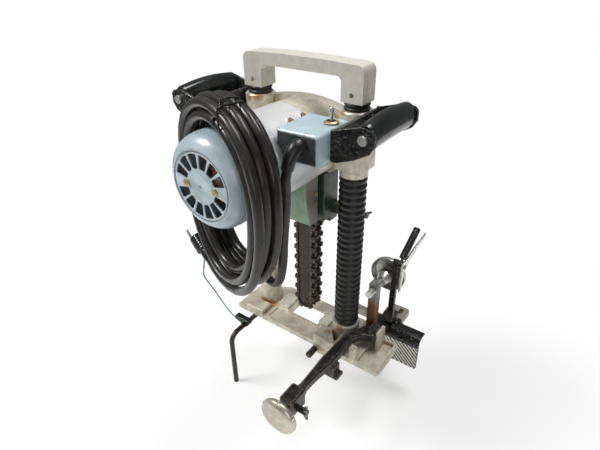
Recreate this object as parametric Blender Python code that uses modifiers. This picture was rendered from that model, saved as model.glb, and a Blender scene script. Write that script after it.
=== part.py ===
"""Chain mortiser for timber framing: a motor head with a hanging cutting chain slides down two columns of a cast base.

Metres, Z up, X from the left column to the right one, Y to the back. Z = 0 is the base's underside, which rests on the timber."""

import math

import bmesh
import bpy
from mathutils import Matrix, Vector
from mathutils.kdtree import KDTree

# General values
GAP = 0.0003
WELD = 0.000001
TURN_WELD = 0.00001
SMOOTH_ANGLE = math.radians(32)
FINE = 22
ROUND = 16
SMALL = 8
CURVE_STEPS = 12
OVERSHOOT = 0.004
THROUGH = 0.3
TURN = 2 * math.pi
X_AXIS = (1.0, 0.0, 0.0)
Y_AXIS = (0.0, 1.0, 0.0)
Z_AXIS = (0.0, 0.0, 1.0)
FRONTWARD = (0.0, -1.0, 0.0)

# Heights of the frame
PAD_HEIGHT = 0.012
PLATE_THICKNESS = 0.008
DECK = PAD_HEIGHT + PLATE_THICKNESS
COLUMN_SEAT_HEIGHT = 0.025
BELLOWS_BOTTOM = DECK + COLUMN_SEAT_HEIGHT
BELLOWS_LENGTH = 0.226
HEAD_BOTTOM = BELLOWS_BOTTOM + BELLOWS_LENGTH
BOSS_HEIGHT = 0.078
HEAD_TOP = HEAD_BOTTOM + BOSS_HEIGHT
BUMPER_HEIGHT = 0.009
FOOT_BOTTOM = HEAD_TOP + BUMPER_HEIGHT
HANDLE_HEIGHT = 0.042
HANDLE_TOP = FOOT_BOTTOM + HANDLE_HEIGHT
MOTOR_ABOVE_HEAD_BOTTOM = 0.034
MOTOR_Z = HEAD_BOTTOM + MOTOR_ABOVE_HEAD_BOTTOM

# Base
COLUMN_SPACING = 0.138
COLUMN_X = COLUMN_SPACING / 2
COLUMN_RADIUS = 0.011
BASE_LEFT_REACH = 0.034
BASE_RIGHT_REACH = 0.074
BASE_LEFT = -COLUMN_X - BASE_LEFT_REACH
BASE_RIGHT = COLUMN_X + BASE_RIGHT_REACH
BASE_FRONT = -0.043
BASE_REAR = 0.038
LEFT_CORNER_X = -0.058
PAD_DIAGONAL_X = -0.070
BASE_LEFT_REAR = 0.014
TRAY_REAR = 0.021
REAR_LUG_REACH = 0.009
REAR_LUG_Y = TRAY_REAR + REAR_LUG_REACH
REAR_LUG_LEFT = 0.084
REAR_LUG_RIGHT = 0.114
OPENING_HALF_LENGTH = 0.027
OPENING_FRONT = -0.011
OPENING_REAR = 0.021
PAD_INSET = 0.003
PAD_FRONT = -0.030
LEFT_PAD_RIGHT = -0.032
RIGHT_PAD_LEFT = 0.034
PAD_REAR = 0.028
SEAT_RADIUS = 0.0195
SEAT_FOOT_RADIUS = 0.0225
CONE_FOOT_RADIUS = 0.0185
CONE_TOP_RADIUS = 0.0140
CONE_HEIGHT = 0.066
COLUMN_FLOOR = 0.0125
CAST_BEVEL = 0.0012
LEFT_BLOCK_LOW = (-0.086, -0.0425, 0.0150)
LEFT_BLOCK_HIGH = (-0.053, -0.0200, 0.0270)
RIGHT_BLOCK_LOW = (0.040, -0.0428, 0.0)
RIGHT_BLOCK_HIGH = (0.0765, -0.0170, 0.0320)
POCKET_LEFT = 0.0565
POCKET_RIGHT = 0.0735
POCKET_FRONT = -0.0390
POCKET_REAR = -0.0185
POCKET_FLOOR = 0.0150
TRAY_LEFT = 0.1105
TRAY_RIM = 0.0040
TRAY_DEPTH = 0.0060
POST_LOW = (0.0985, -0.0428, 0.0150)
POST_HIGH = (0.1085, -0.0330, 0.0400)
ARM_LUG_LOW_Y = -0.0050
ARM_LUG_HIGH_Y = 0.0160
ARM_LUG_LEFT = 0.1190
ARM_LUG_THICKNESS = 0.0050
ARM_LUG_TOP = 0.0480
BEAM_GROOVE_DEPTH = 0.0015
BEAM_GROOVE_LEFT = -0.045
BEAM_GROOVE_RIGHT = 0.034
BEAM_GROOVE_FRONT = -0.037
BEAM_GROOVE_REAR = -0.016

# Wear blocks beside the chain opening
WEAR_HEIGHT = 0.0068
WEAR_FRONT = -0.0100
WEAR_REAR = 0.0180
WEAR_GAP = 0.0015
LEFT_WEAR_WIDTH = 0.0175
RIGHT_WEAR_WIDTH = 0.0160
WEAR_GROOVES = 5
WEAR_GROOVE_DEPTH = 0.0011
WEAR_GROOVE_SHARE = 0.42

# Carry handle
LEG_SIZE = 0.027
BAR_THICKNESS = 0.0150
HANDLE_CORNER = 0.0080
HANDLE_INNER_CORNER = 0.0060
HANDLE_BEVEL = 0.0050
HANDLE_ARCH = 0.0020
COLUMN_IN_HANDLE = 0.024
SET_SCREW_RADIUS = 0.0026
SET_SCREW_ABOVE_FOOT = 0.0085

# Bumpers, bellows and return spring
BUMPER_RADIUS = 0.0148
BUMPER_WAIST = 0.0136
RIBS = 26
BELLOWS_SIDES = 12
RIB_RADIUS = 0.0176
VALLEY_RADIUS = 0.0155
BELLOWS_BORE = 0.0145
SPRING_RADIUS = 0.0129
SPRING_WIRE = 0.0008
SPRING_TURNS = 6
SPRING_POINTS = 9

# Head casting
BOSS_RADIUS = 0.019
BOSS_BLOCK_X = 0.0185
BOSS_BLOCK_Y = 0.0170
BOSS_BLOCK_HEIGHT = 0.030
BOSS_RING_HEIGHT = 0.008
BOSS_RING_RADIUS = 0.0172
FLANGE_FRONT = -0.0400
FLANGE_REAR = 0.0080
WEB_REAR = 0.0220
WEB_BOTTOM = 0.262
WEB_LEFT_TOP = HEAD_TOP - 0.006
WEB_RIGHT_TOP = HEAD_TOP - 0.014
WEB_MIDDLE_TOP = HEAD_TOP + 0.001
WEB_STEPS = 12
REAR_BOSS_RADIUS = 0.032
REAR_BOSS_END = 0.038
RIB_FRONT = -0.006
RIB_LOW = 0.285
RIB_HIGH = 0.327
CHAIN_ROOM_HALF = 0.0190
CHAIN_ROOM_FRONT = -0.0085
CHAIN_ROOM_REAR = 0.0185
BEARING_RADIUS = 0.011
BEARING_BORE = 0.0053
BEARING_END = 0.0303
REAR_BEARING_FRONT = 0.0203
OVAL_X = 0.024
OVAL_Z = 0.3360
OVAL_RADIUS = 0.0040
OVAL_HALF_LENGTH = 0.0060
SLIT_LEFT = -0.0480
SLIT_RIGHT = -0.0290
SLIT_Z = 0.3300
SLIT_HEIGHT = 0.0022

# Motor
BARREL_RADIUS = 0.050
BARREL_WALL = 0.0047
BARREL_BORE = BARREL_RADIUS - BARREL_WALL
BARREL_FRONT = -0.112
END_WALL = 0.005
VENTS = 6
VENT_RADIUS = 0.0065
VENT_INSET = 0.0153
VENT_CIRCLE = BARREL_BORE - VENT_INSET
FIELD_CLEARANCE = 0.0007
FIELD_OUTER = BARREL_BORE - FIELD_CLEARANCE
FIELD_BORE = 0.0255
FIELD_FRONT = -0.103
FIELD_REAR = -0.058
SHAFT_RADIUS = 0.005
SHAFT_FRONT = -0.152
SHAFT_REAR = 0.0298
CORE_RADIUS = 0.0245
CORE_FRONT = -0.100
CORE_REAR = -0.060
COMMUTATOR_RADIUS = 0.014
COMMUTATOR_FRONT = -0.056
COMMUTATOR_REAR = -0.046
FAN_HUB_RADIUS = 0.010
FAN_RADIUS = 0.041
FAN_FRONT = -0.148
FAN_REAR = -0.126
FAN_PLATE = 0.002
FAN_BLADES = 7
FAN_LAP = 0.0012
BLADE_THICKNESS = 0.0022
BLADE_INNER = 0.0085
BLADE_FIRST_ANGLE = math.radians(7)
SPROCKET_ROOT = 0.0082
SPROCKET_TIP = 0.0100
SPROCKET_TEETH = 8
SPROCKET_FRONT = -0.003
SPROCKET_REAR = 0.013

# Fan cover
COVER_REAR = BARREL_FRONT - GAP
COVER_SHELL = 0.0026
COVER_PROFILE = (
    (0.0500, 0.0000),
    (0.0508, -0.0250),
    (0.0508, -0.0440),
    (0.0492, -0.0515),
    (0.0455, -0.0575),
    (0.0410, -0.0612),
    (0.0385, -0.0627),
)
GRILLE_RING = 0.0368
GRILLE_RADIUS = 0.0352
GRILLE_GROOVE = 0.0011
SLOT_INNER = 0.0188
SLOT_OUTER = 0.0330
SLOTS_PER_SIDE = 6
SLOT_FIRST_ANGLE = math.radians(24)
SLOT_LAST_ANGLE = math.radians(156)
SLOT_SHARE = 0.70
SCREW_CIRCLE = 0.0190
SCREW_HEAD = 0.0040
SCREW_HEAD_HEIGHT = 0.0019
SCREW_SHANK = 0.0016
SCREW_HOLE = 0.0019
BARREL_SCREW_ANGLE = math.radians(55)
BARREL_SCREW_FRONT_Y = -0.068
BARREL_SCREW_REAR_Y = -0.046

# Switch box
BOX_LEFT = 0.036
BOX_RIGHT = COLUMN_X + BOSS_RADIUS
BOX_FRONT = -0.104
BOX_REAR = -0.044
BOX_BOTTOM = MOTOR_Z + 0.013
BOX_TOP = MOTOR_Z + 0.047
BOX_BEVEL = 0.0045
TOGGLE_X = 0.0765
TOGGLE_Y = -0.0640
TOGGLE_WELL = 0.0046
TOGGLE_WELL_DEPTH = 0.008
NUT_RADIUS = 0.0078
NUT_HEIGHT = 0.0026
TOGGLE_FOOT_RADIUS = 0.0016
TOGGLE_TIP_RADIUS = 0.0024
TOGGLE_BALL_RADIUS = 0.0040
TOGGLE_BALL_HALF = 0.0034
TOGGLE_BELOW = 0.0040
TOGGLE_ABOVE = 0.0165
GLAND_X = 0.0665
GLAND_Z = MOTOR_Z + 0.0345
GLAND_ROUTE = (
    (0.0000, -0.0019, 0.0000),
    (0.0000, -0.0060, -0.0012),
    (-0.0012, -0.0112, -0.0060),
    (-0.0020, -0.0148, -0.0126),
    (-0.0027, -0.0165, -0.0200),
)
GLAND_POINTS = 8
GLAND_FLANGE = 0.0095
GLAND_FLANGE_LENGTH = 0.0022
GLAND_ROOT = 0.0082
GLAND_TIP = 0.0063

# Chain case
CASE_HALF = 0.025
CASE_FRONT_TOP = -0.0365
CASE_FRONT_BOTTOM = -0.0260
CASE_BACK = -0.0092
CASE_BOTTOM = 0.196
CASE_TOP = WEB_BOTTOM - GAP
CASE_HOLE_X = -0.0090
CASE_HOLE_Z = 0.2220
CASE_HOLE_RADIUS = 0.0038
CASE_SCREW_Y = -0.0165
CASE_SCREW_DROP = 0.0227
CASE_SCREW_PITCH = 0.0130
CASE_SCREW_UPPER = CASE_TOP - CASE_SCREW_DROP
CASE_SCREW_LOWER = CASE_SCREW_UPPER - CASE_SCREW_PITCH
CASE_SCREW_RADIUS = 0.0030
COVER_HALF = 0.030
COVER_START = -0.0030
COVER_END = 0.0310
COVER_BOTTOM = 0.187
COVER_STEP_Y = 0.0120
COVER_STEP_Z = 0.1935
COVER_CHAMFER = 0.0060
BAR_BOSS_HALF = 0.0080
BAR_BOSS_LOW = 0.212
BAR_BOSS_HIGH = 0.244
DEPTH_X = 0.056
DEPTH_Y = 0.029
DEPTH_RADIUS = 0.0040
DEPTH_BOTTOM = 0.172
DEPTH_TOP = 0.322
DEPTH_LUG_LOW = 0.196
DEPTH_LUG_HIGH = 0.210
DEPTH_LUG_HALF = 0.0085

# Guide bar and chain
CHAIN_Y = 0.005
CHAIN_HALF_THICKNESS = 0.0115
BAR_HALF_THICKNESS = 0.0098
BAR_HALF_WIDTH = 0.0104
BAR_TOP = 0.2910
NOSE_Z = 0.050
CHAIN_INNER = 0.0108
CHAIN_LINK = 0.0132
CHAIN_TOOTH = 0.0152
TOOTH_PITCH = 0.0179
TOOTH_RISE_SHARE = 0.22
TOOTH_FALL_SHARE = 0.62
ARC_STEPS = 6
ROW_LAP = 0.0002
NOSE_PIN = 0.0036

# Side brackets and grips
WEB_INNER = COLUMN_X + BOSS_RADIUS + GAP
BRACKET_THICKNESS = 0.0032
BRACKET_FRONT = -0.084
BRACKET_REAR = 0.012
BRACKET_LOW = MOTOR_Z + 0.017
BRACKET_HIGH = MOTOR_Z + 0.047
ARM_OUTLINE = (
    (0.0000, 0.0160),
    (0.0070, 0.0160),
    (0.0255, 0.0225),
    (0.0425, 0.0320),
    (0.0475, 0.0395),
    (0.0475, 0.0505),
    (0.0440, 0.0545),
    (0.0330, 0.0565),
    (0.0030, 0.0480),
    (0.0000, 0.0480),
)
GRIP_X = WEB_INNER + 0.0355
GRIP_Z = MOTOR_Z + 0.045
GRIP_END_RADIUS = 0.0140
GRIP_MIDDLE_RADIUS = 0.0152
GRIP_WIDTH_SHARE = 0.74
GRIP_BOW = 0.0025
GRIP_POINTS = 7
GRIP_RESOLUTION = 4
BOLT_RADIUS = 0.0030
BOLT_HOLE = 0.0033
BOLT_HEAD = 0.0052
BOLT_HEAD_HEIGHT = 0.0030
NUT_SIDES = 6
BRACKET_BEVEL = 0.0009

# Side lever at the front right
LEVER_X = 0.0870
LEVER_LOW = 0.0300
LEVER_HIGH = 0.0430
LEVER_PIVOT_Y = 0.0060
LEVER_PIVOT_Z = 0.0360
LEVER_HUB_LEFT = 0.1070
LEVER_HUB_RIGHT = 0.1185
LEVER_HUB_RADIUS = 0.0125
LEVER_BORE = 0.0043
LEVER_PIN = 0.0040
LEVER_OUTLINE = (
    (0.1180, 0.0060),
    (0.0950, 0.0060),
    (0.0900, -0.0100),
    (0.0830, -0.0230),
    (0.0800, -0.0500),
    (0.0795, -0.0900),
    (0.0810, -0.1300),
    (0.0780, -0.1360),
    (0.0780, -0.1400),
    (0.0930, -0.1400),
    (0.0930, -0.1360),
    (0.0905, -0.1280),
    (0.0915, -0.1080),
    (0.0955, -0.0820),
    (0.0960, -0.0600),
    (0.0940, -0.0420),
    (0.0950, -0.0280),
    (0.1040, -0.0120),
    (0.1180, -0.0060),
)
END_BLOCK_LOW = (0.0765, -0.1660, 0.0240)
END_BLOCK_HIGH = (0.0960, -0.1375, 0.0500)
LEVER_BEVEL = 0.0022
SHOE_LOW = (0.0740, -0.0800, 0.0130)
SHOE_HIGH = (0.0990, -0.0640, 0.0297)
SHOE_EAR = 0.0055
SHOE_EAR_HIGH = 0.0190
KNOB_Z = 0.0385
KNOB_SHAFT = 0.0048
KNOB_SHAFT_BORE = 0.0051
KNOB_SHAFT_REAR = -0.1480
KNOB_BACK = -0.1740
KNOB_PROFILE = (
    (0.0090, 0.0000),
    (0.0110, -0.0010),
    (0.0215, -0.0015),
    (0.0240, -0.0035),
    (0.0242, -0.0070),
    (0.0225, -0.0095),
    (0.0160, -0.0125),
    (0.0080, -0.0140),
)
KNOB_FACE = -0.0145
KNOB_NOTCHES = 6
KNOB_NOTCH_RADIUS = 0.0022
WING_SHANK = 0.0028
WING_HUB = 0.0042
WING_HUB_LENGTH = 0.0120
WING_SPAN = 0.0120
WING_HEIGHT = 0.0062
WING_THICKNESS = 0.0022
WING_SHARES = ((0.22, 0.0), (0.62, 0.15), (1.0, 0.75), (0.95, 1.0), (0.62, 0.95), (0.22, 0.55))
ARM_WING_Y = -0.1520
ARM_WING_Z = 0.0292
ARM_WING_DEPTH = 0.0080

# Gauge rod and its clip
GAUGE_X = -0.072
GAUGE_Z = 0.0065
GAUGE_RADIUS = 0.0038
GAUGE_BORE = 0.0041
GAUGE_REAR = 0.0290
GAUGE_BEND_Y = -0.0940
GAUGE_BEND = 0.0140
GAUGE_BOTTOM = -0.0900
GAUGE_BEND_STEPS = 7
CLIP_LOW = (-0.0890, -0.0670, 0.0106)
CLIP_HIGH = (-0.0615, -0.0570, 0.0186)
CLIP_JAW_LENGTH = 0.0070
CLIP_JAW_LOW = 0.0060
CLIP_JAW_THICKNESS = 0.0020

# Vise at the rear right
SPINDLE_X = 0.100
SPINDLE_Z = 0.101
SPINDLE_RADIUS = 0.0050
SPINDLE_BORE = 0.0053
SPINDLE_FRONT = 0.0020
VISE_POST_HALF = 0.0065
VISE_POST_FRONT = 0.0138
VISE_POST_REAR = 0.0268
VISE_POST_TOP = 0.1110
CONE_FRONT = 0.0395
CONE_REAR = 0.0495
CONE_SMALL = 0.0065
CONE_LARGE = 0.0110
UPRIGHT_FRONT = 0.0500
UPRIGHT_REAR = 0.0550
UPRIGHT_LEFT = 0.1095
UPRIGHT_RIGHT = 0.1180
UPRIGHT_EYE = 0.0115
UPRIGHT_TOP = 0.1350
WHEEL_FRONT = 0.0580
WHEEL_PROFILE = (
    (0.0100, 0.0000),
    (0.0108, 0.0040),
    (0.0225, 0.0050),
    (0.0238, 0.0000),
    (0.0262, 0.0000),
    (0.0262, 0.0055),
    (0.0235, 0.0095),
    (0.0160, 0.0125),
    (0.0080, 0.0138),
)
WHEEL_FACE = 0.0142
CROSSBAR_LOW = (0.0340, 0.0650, -0.0020)
CROSSBAR_HIGH = (0.1280, 0.0720, 0.0145)
CARRIAGE_TOP_Z = 0.0200
CARRIAGE_TOP_THICKNESS = 0.0050
CARRIAGE_TOP_LEFT = 0.0960
CARRIAGE_TOP_REAR = 0.0930
CARRIAGE_BLOCK_LOW = (0.1040, 0.0573, -0.0340)
CARRIAGE_BLOCK_HIGH = (0.1260, 0.0680, 0.0010)
CARRIAGE_FRONT = 0.0655
UPRIGHT_FOOT_HEIGHT = 0.0050
EYE_SET_BACK = 0.0006
SLOT_X = 0.1180
SLOT_FRONT = 0.0780
SLOT_LENGTH = 0.0070
SLOT_RADIUS = 0.0030
UPRIGHT_FOOT_REAR = 0.0730
JAW_LOW = (0.0990, 0.0510, -0.0460)
JAW_HIGH = (0.1620, 0.0570, 0.0080)
JAW_GROOVES = 15
JAW_GROOVE_DEPTH = 0.0012
JAW_GROOVE_SHARE = 0.45
JAW_LEAN_SHARE = 0.45
JAW_EXTRA_GROOVES = 6
COVER_LEFT = 0.0790
COVER_RIGHT = 0.1650
COVER_SECTION = (
    (0.0435, 0.0030),
    (0.0428, 0.0090),
    (0.0450, 0.0145),
    (0.0495, 0.0178),
    (0.0560, 0.0190),
    (0.0647, 0.0182),
    (0.0647, 0.0162),
    (0.0560, 0.0170),
    (0.0505, 0.0160),
    (0.0466, 0.0132),
    (0.0448, 0.0088),
    (0.0455, 0.0030),
)
GUIDE_X = 0.044
GUIDE_Z = 0.0065
GUIDE_RADIUS = 0.0048
GUIDE_BORE = 0.0051
GUIDE_FRONT = -0.0600
PIVOT_Y = 0.0525
PIVOT_Z = 0.1280
PIVOT_PIN = 0.0030
PIVOT_BORE = 0.0033
LOCK_LEFT = 0.1185
LOCK_THICKNESS = 0.0040
LOCK_HUB = 0.0070
GRIP_ROD = 0.0050
GRIP_ROD_START = (0.0030, 0.0110)
GRIP_ROD_END = (0.0440, 0.0370)
RELEASE_LEFT = 0.1230
RELEASE_THICKNESS = 0.0030
RELEASE_OUTLINE = (
    (-0.0070, -0.0390),
    (-0.0030, -0.0395),
    (0.0024, -0.0100),
    (0.0150, -0.0020),
    (0.0400, 0.0080),
    (0.0690, 0.0150),
    (0.0700, 0.0185),
    (0.0400, 0.0150),
    (0.0120, 0.0080),
    (0.0000, 0.0065),
    (-0.0055, 0.0030),
    (-0.0060, -0.0100),
)

# Power cord
CORD_RADIUS = 0.0052
COIL_POINTS = 24
COIL_PITCH = 0.0118
COIL_LAYER = 0.0130
COIL_CENTRE_Y = -0.1355
COIL_TURN = math.radians(18)
COIL_LAYERS = 4
COIL_TURNS_PER_LAYER = 2
COIL_FIRST_TURNS = 1.065
COIL_CLIMB_TURNS = 0.5
COIL_START_SHARE = 0.5
COIL_LEAST_GAP = 0.0004
COIL_SKIP_PITCHES = 4
GAP_STEPS = 8
LOOP_SHAPE = (
    (0.0000, 0.0595),
    (0.0300, 0.0515),
    (0.0520, 0.0297),
    (0.0602, 0.0000),
    (0.0590, -0.0320),
    (0.0495, -0.0650),
    (0.0340, -0.0900),
    (0.0130, -0.1045),
    (-0.0090, -0.1070),
    (-0.0290, -0.0980),
    (-0.0450, -0.0760),
    (-0.0550, -0.0430),
    (-0.0590, -0.0080),
    (-0.0520, 0.0297),
    (-0.0300, 0.0515),
)
TAIL_ROUTE = (
    (0.0630, -0.1220, 0.2980),
    (0.0625, -0.1215, 0.2650),
    (0.0612, -0.1205, 0.2340),
    (0.0575, -0.1200, 0.2000),
    (0.0490, -0.1195, 0.1770),
    (0.0370, -0.1190, 0.1715),
    (0.0220, -0.1185, 0.1770),
)
TAIL_POINTS = 28
TIE_U = 0.0180
TIE_WIRE = 0.0009
TIE_INNER = 0.0500
TIE_OUTER = 0.0880
TIE_HALF_DEPTH = 0.0260
TIE_CORNER = 0.0060
PLUG_SIDES = 12
PLUG_NECK = 0.0062
PLUG_BODY = 0.0090
PLUG_RIDGE = 0.0078
PLUG_NECK_LENGTH = 0.0120
PLUG_LENGTH = 0.0340
PLUG_RIDGES = 3
PRONG_LENGTH = 0.0130
PRONG_HALF_WIDTH = 0.0030
PRONG_HALF_THICKNESS = 0.0008
PRONG_SPACING = 0.0064
EARTH_RADIUS = 0.0009
EARTH_ROUTE = (
    (-0.0533, -0.13765, 0.1861),
    (-0.0562, -0.1380, 0.1700),
    (-0.0600, -0.1380, 0.1500),
    (-0.0680, -0.1220, 0.1150),
    (-0.0760, -0.1000, 0.0650),
)
EARTH_POINTS = 18

# Collections
PIECES = bpy.data.collections.new("chain_mortiser")
CUTTERS = bpy.data.collections.new("cutters")


def clear_scene():
    """Remove what the scene holds and link the two collections."""
    for item in list(bpy.data.objects):
        bpy.data.objects.remove(item, do_unlink=True)
    bpy.context.scene.collection.children.link(PIECES)
    bpy.context.scene.collection.children.link(CUTTERS)


def added(name, data):
    """Put a new object with this data in the part's collection."""
    obj = bpy.data.objects.new(name, data)
    PIECES.objects.link(obj)
    return obj


def mesh_object(name, builder):
    """Make a mesh object from a bmesh."""
    mesh = bpy.data.meshes.new(name)
    bmesh.ops.recalc_face_normals(builder, faces=builder.faces)
    builder.to_mesh(mesh)
    builder.free()
    return added(name, mesh)


def baked(obj):
    """Turn a curve, or a mesh with modifiers, into a plain closed mesh in world space."""
    bpy.context.view_layer.update()
    graph = bpy.context.evaluated_depsgraph_get()
    mesh = bpy.data.meshes.new_from_object(obj.evaluated_get(graph))
    mesh.transform(obj.matrix_world)
    name = obj.name
    bpy.data.objects.remove(obj, do_unlink=True)
    builder = bmesh.new()
    builder.from_mesh(mesh)
    bmesh.ops.remove_doubles(builder, verts=builder.verts, dist=WELD)
    bmesh.ops.recalc_face_normals(builder, faces=builder.faces)
    builder.to_mesh(mesh)
    builder.free()
    mesh.name = name
    return added(name, mesh)


def put_away(tool):
    """Keep a Boolean's tool in the hidden collection."""
    PIECES.objects.unlink(tool)
    CUTTERS.objects.link(tool)
    tool.hide_render = True
    tool.display_type = "WIRE"


def combined(obj, operation, tools):
    """Apply one exact Boolean for each tool."""
    for tool in tools:
        modifier = obj.modifiers.new(operation.lower(), "BOOLEAN")
        modifier.operation = operation
        modifier.solver = "EXACT"
        modifier.object = tool
    result = baked(obj)
    for tool in tools:
        put_away(tool)
    return result


def cut(obj, *tools):
    """Take the tools away from the object."""
    return combined(obj, "DIFFERENCE", tools)


def fused(obj, *tools):
    """Make one solid of the object and the tools."""
    return combined(obj, "UNION", tools)


def softened(obj, width, segments=1):
    """Round the object's sharp edges."""
    modifier = obj.modifiers.new("edges", "BEVEL")
    modifier.width = width
    modifier.segments = segments
    modifier.limit_method = "ANGLE"
    modifier.angle_limit = SMOOTH_ANGLE
    return baked(obj)


def block(name, low, high, bevel=0.0, segments=1):
    """Make a box between two corners, with its edges rounded."""
    builder = bmesh.new()
    bmesh.ops.create_cube(builder, size=1.0)
    low = Vector(low)
    high = Vector(high)
    sizes = high - low
    middle = (low + high) / 2
    for vertex in builder.verts:
        vertex.co = Vector(a * b for a, b in zip(vertex.co, sizes)) + middle
    obj = mesh_object(name, builder)
    return softened(obj, bevel, segments) if bevel else obj


def along(start, end):
    """Give the matrix that takes the Z axis to the line from start to end."""
    direction = Vector(end) - Vector(start)
    turn = Vector(Z_AXIS).rotation_difference(direction.normalized()).to_matrix().to_4x4()
    return Matrix.Translation(start) @ turn, direction.length


def rod(name, start, end, radius, end_radius=None, sides=ROUND):
    """Make a cylinder or a cone between two points."""
    matrix, length = along(start, end)
    builder = bmesh.new()
    bmesh.ops.create_cone(
        builder,
        cap_ends=True,
        segments=sides,
        radius1=radius,
        radius2=radius if end_radius is None else end_radius,
        depth=length,
        matrix=matrix @ Matrix.Translation((0, 0, length / 2)),
    )
    return mesh_object(name, builder)


def turned(name, profile, origin, axis, sides=ROUND, bore=0.0):
    """Turn a profile of (radius, distance along the axis) pairs, with a bore where one is given."""
    points = sorted_down(profile)
    if bore:
        points = points + [(bore, points[-1][1]), (bore, points[0][1]), points[0]]
    else:
        points = [(0.0, points[0][1])] + points + [(0.0, points[-1][1])]
    builder = bmesh.new()
    vertices = [builder.verts.new((radius, 0, height)) for radius, height in points]
    for first, second in zip(vertices, vertices[1:]):
        builder.edges.new((first, second))
    mesh = bpy.data.meshes.new(name)
    builder.to_mesh(mesh)
    builder.free()
    obj = added(name, mesh)
    screw = obj.modifiers.new("turn", "SCREW")
    screw.steps = sides
    screw.render_steps = sides
    screw.use_merge_vertices = True
    screw.merge_threshold = TURN_WELD
    obj.matrix_world = along(origin, Vector(origin) + Vector(axis))[0]
    return baked(obj)


def sorted_down(profile):
    """List a profile from its top to its bottom."""
    points = list(profile)
    return points if points[0][1] > points[-1][1] else points[::-1]


PLANES = {
    "X": Matrix(((0, 0, 1, 0), (1, 0, 0, 0), (0, 1, 0, 0), (0, 0, 0, 1))),
    "Y": Matrix(((1, 0, 0, 0), (0, 0, -1, 0), (0, 1, 0, 0), (0, 0, 0, 1))),
    "Z": Matrix.Identity(4),
}
AXES = {"X": Vector(X_AXIS), "Y": Vector(Y_AXIS), "Z": Vector(Z_AXIS)}


def plate(name, outlines, axis, low, high):
    """Extrude closed outlines, the first with the others as its holes, along an axis from low to high."""
    curve = bpy.data.curves.new(name, "CURVE")
    curve.dimensions = "2D"
    curve.fill_mode = "BOTH"
    curve.extrude = (high - low) / 2
    for outline in outlines:
        spline = curve.splines.new("POLY")
        spline.points.add(len(outline) - 1)
        for point, (across, up) in zip(spline.points, outline):
            point.co = (across, up, 0, 1)
        spline.use_cyclic_u = True
    obj = added(name, curve)
    middle = (low + high) / 2
    obj.matrix_world = Matrix.Translation(AXES[axis] * middle) @ PLANES[axis]
    return baked(obj)


def tube(name, points, radius, resolution=1, cyclic=False, radii=None):
    """Make a round bar along points."""
    curve = bpy.data.curves.new(name, "CURVE")
    curve.dimensions = "3D"
    curve.bevel_depth = radius
    curve.bevel_resolution = resolution
    curve.use_fill_caps = True
    spline = curve.splines.new("POLY")
    spline.points.add(len(points) - 1)
    for index, (point, place) in enumerate(zip(spline.points, points)):
        point.co = (*place, 1)
        point.radius = radii[index] if radii else 1
    spline.use_cyclic_u = cyclic
    return baked(added(name, curve))


def rounded(points, radius, steps=4):
    """Round the corners of a closed outline."""
    result = []
    count = len(points)
    for index, corner in enumerate(points):
        corner = Vector(corner)
        before = (Vector(points[index - 1]) - corner).normalized()
        after = (Vector(points[(index + 1) % count]) - corner).normalized()
        half_angle = before.angle(after) / 2
        middle = (before + after).normalized()
        centre = corner + middle * (radius / math.sin(half_angle))
        start = corner + before * (radius / math.tan(half_angle))
        end = corner + after * (radius / math.tan(half_angle))
        for step in range(steps + 1):
            mixed = (start - centre).lerp(end - centre, step / steps).normalized()
            result.append(tuple(centre + mixed * radius))
    return result


def circle(radius, centre=(0.0, 0.0), sides=ROUND, start=0.0, end=TURN, closed=True):
    """List points of a circle or an arc."""
    count = sides if closed else sides + 1
    return [
        (
            centre[0] + radius * math.cos(start + (end - start) * step / sides),
            centre[1] + radius * math.sin(start + (end - start) * step / sides),
        )
        for step in range(count)
    ]


def mirrored(obj, name):
    """Make a copy on the other side of the middle plane."""
    mesh = obj.data.copy()
    mesh.transform(Matrix.Scale(-1, 4, X_AXIS))
    mesh.flip_normals()
    mesh.name = name
    return added(name, mesh)


def pivoted(obj, point):
    """Put the object's origin on its joint."""
    obj.data.transform(Matrix.Translation(-Vector(point)))
    obj.location = point
    return obj


def curve_point(before, start, end, after, share):
    """Give a point of the smooth curve that runs from start to end."""
    a, b, c, d = (Vector(place) for place in (before, start, end, after))
    cubic = (b * 3 - a - c * 3 + d) * share**3 + (a * 2 - b * 5 + c * 4 - d) * share**2 + (c - a) * share
    return b + cubic / 2


def smooth_path(points, count):
    """Read evenly spaced points from a smooth curve through the given ones."""
    fine = []
    last = len(points) - 1
    for index in range(last):
        ends = (points[max(index - 1, 0)], points[index], points[index + 1], points[min(index + 2, last)])
        for step in range(CURVE_STEPS):
            fine.append(curve_point(*ends, step / CURVE_STEPS))
    fine.append(Vector(points[last]))
    return spaced(fine, count)


def spaced(points, count):
    """Pick points at even distances along a fine path."""
    reach = [0.0]
    for first, second in zip(points, points[1:]):
        reach.append(reach[-1] + (second - first).length)
    result = []
    index = 0
    for step in range(count):
        wanted = reach[-1] * step / (count - 1)
        while index < len(points) - 2 and reach[index + 1] < wanted:
            index += 1
        span = reach[index + 1] - reach[index]
        result.append(points[index].lerp(points[index + 1], (wanted - reach[index]) / span))
    return result


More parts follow.
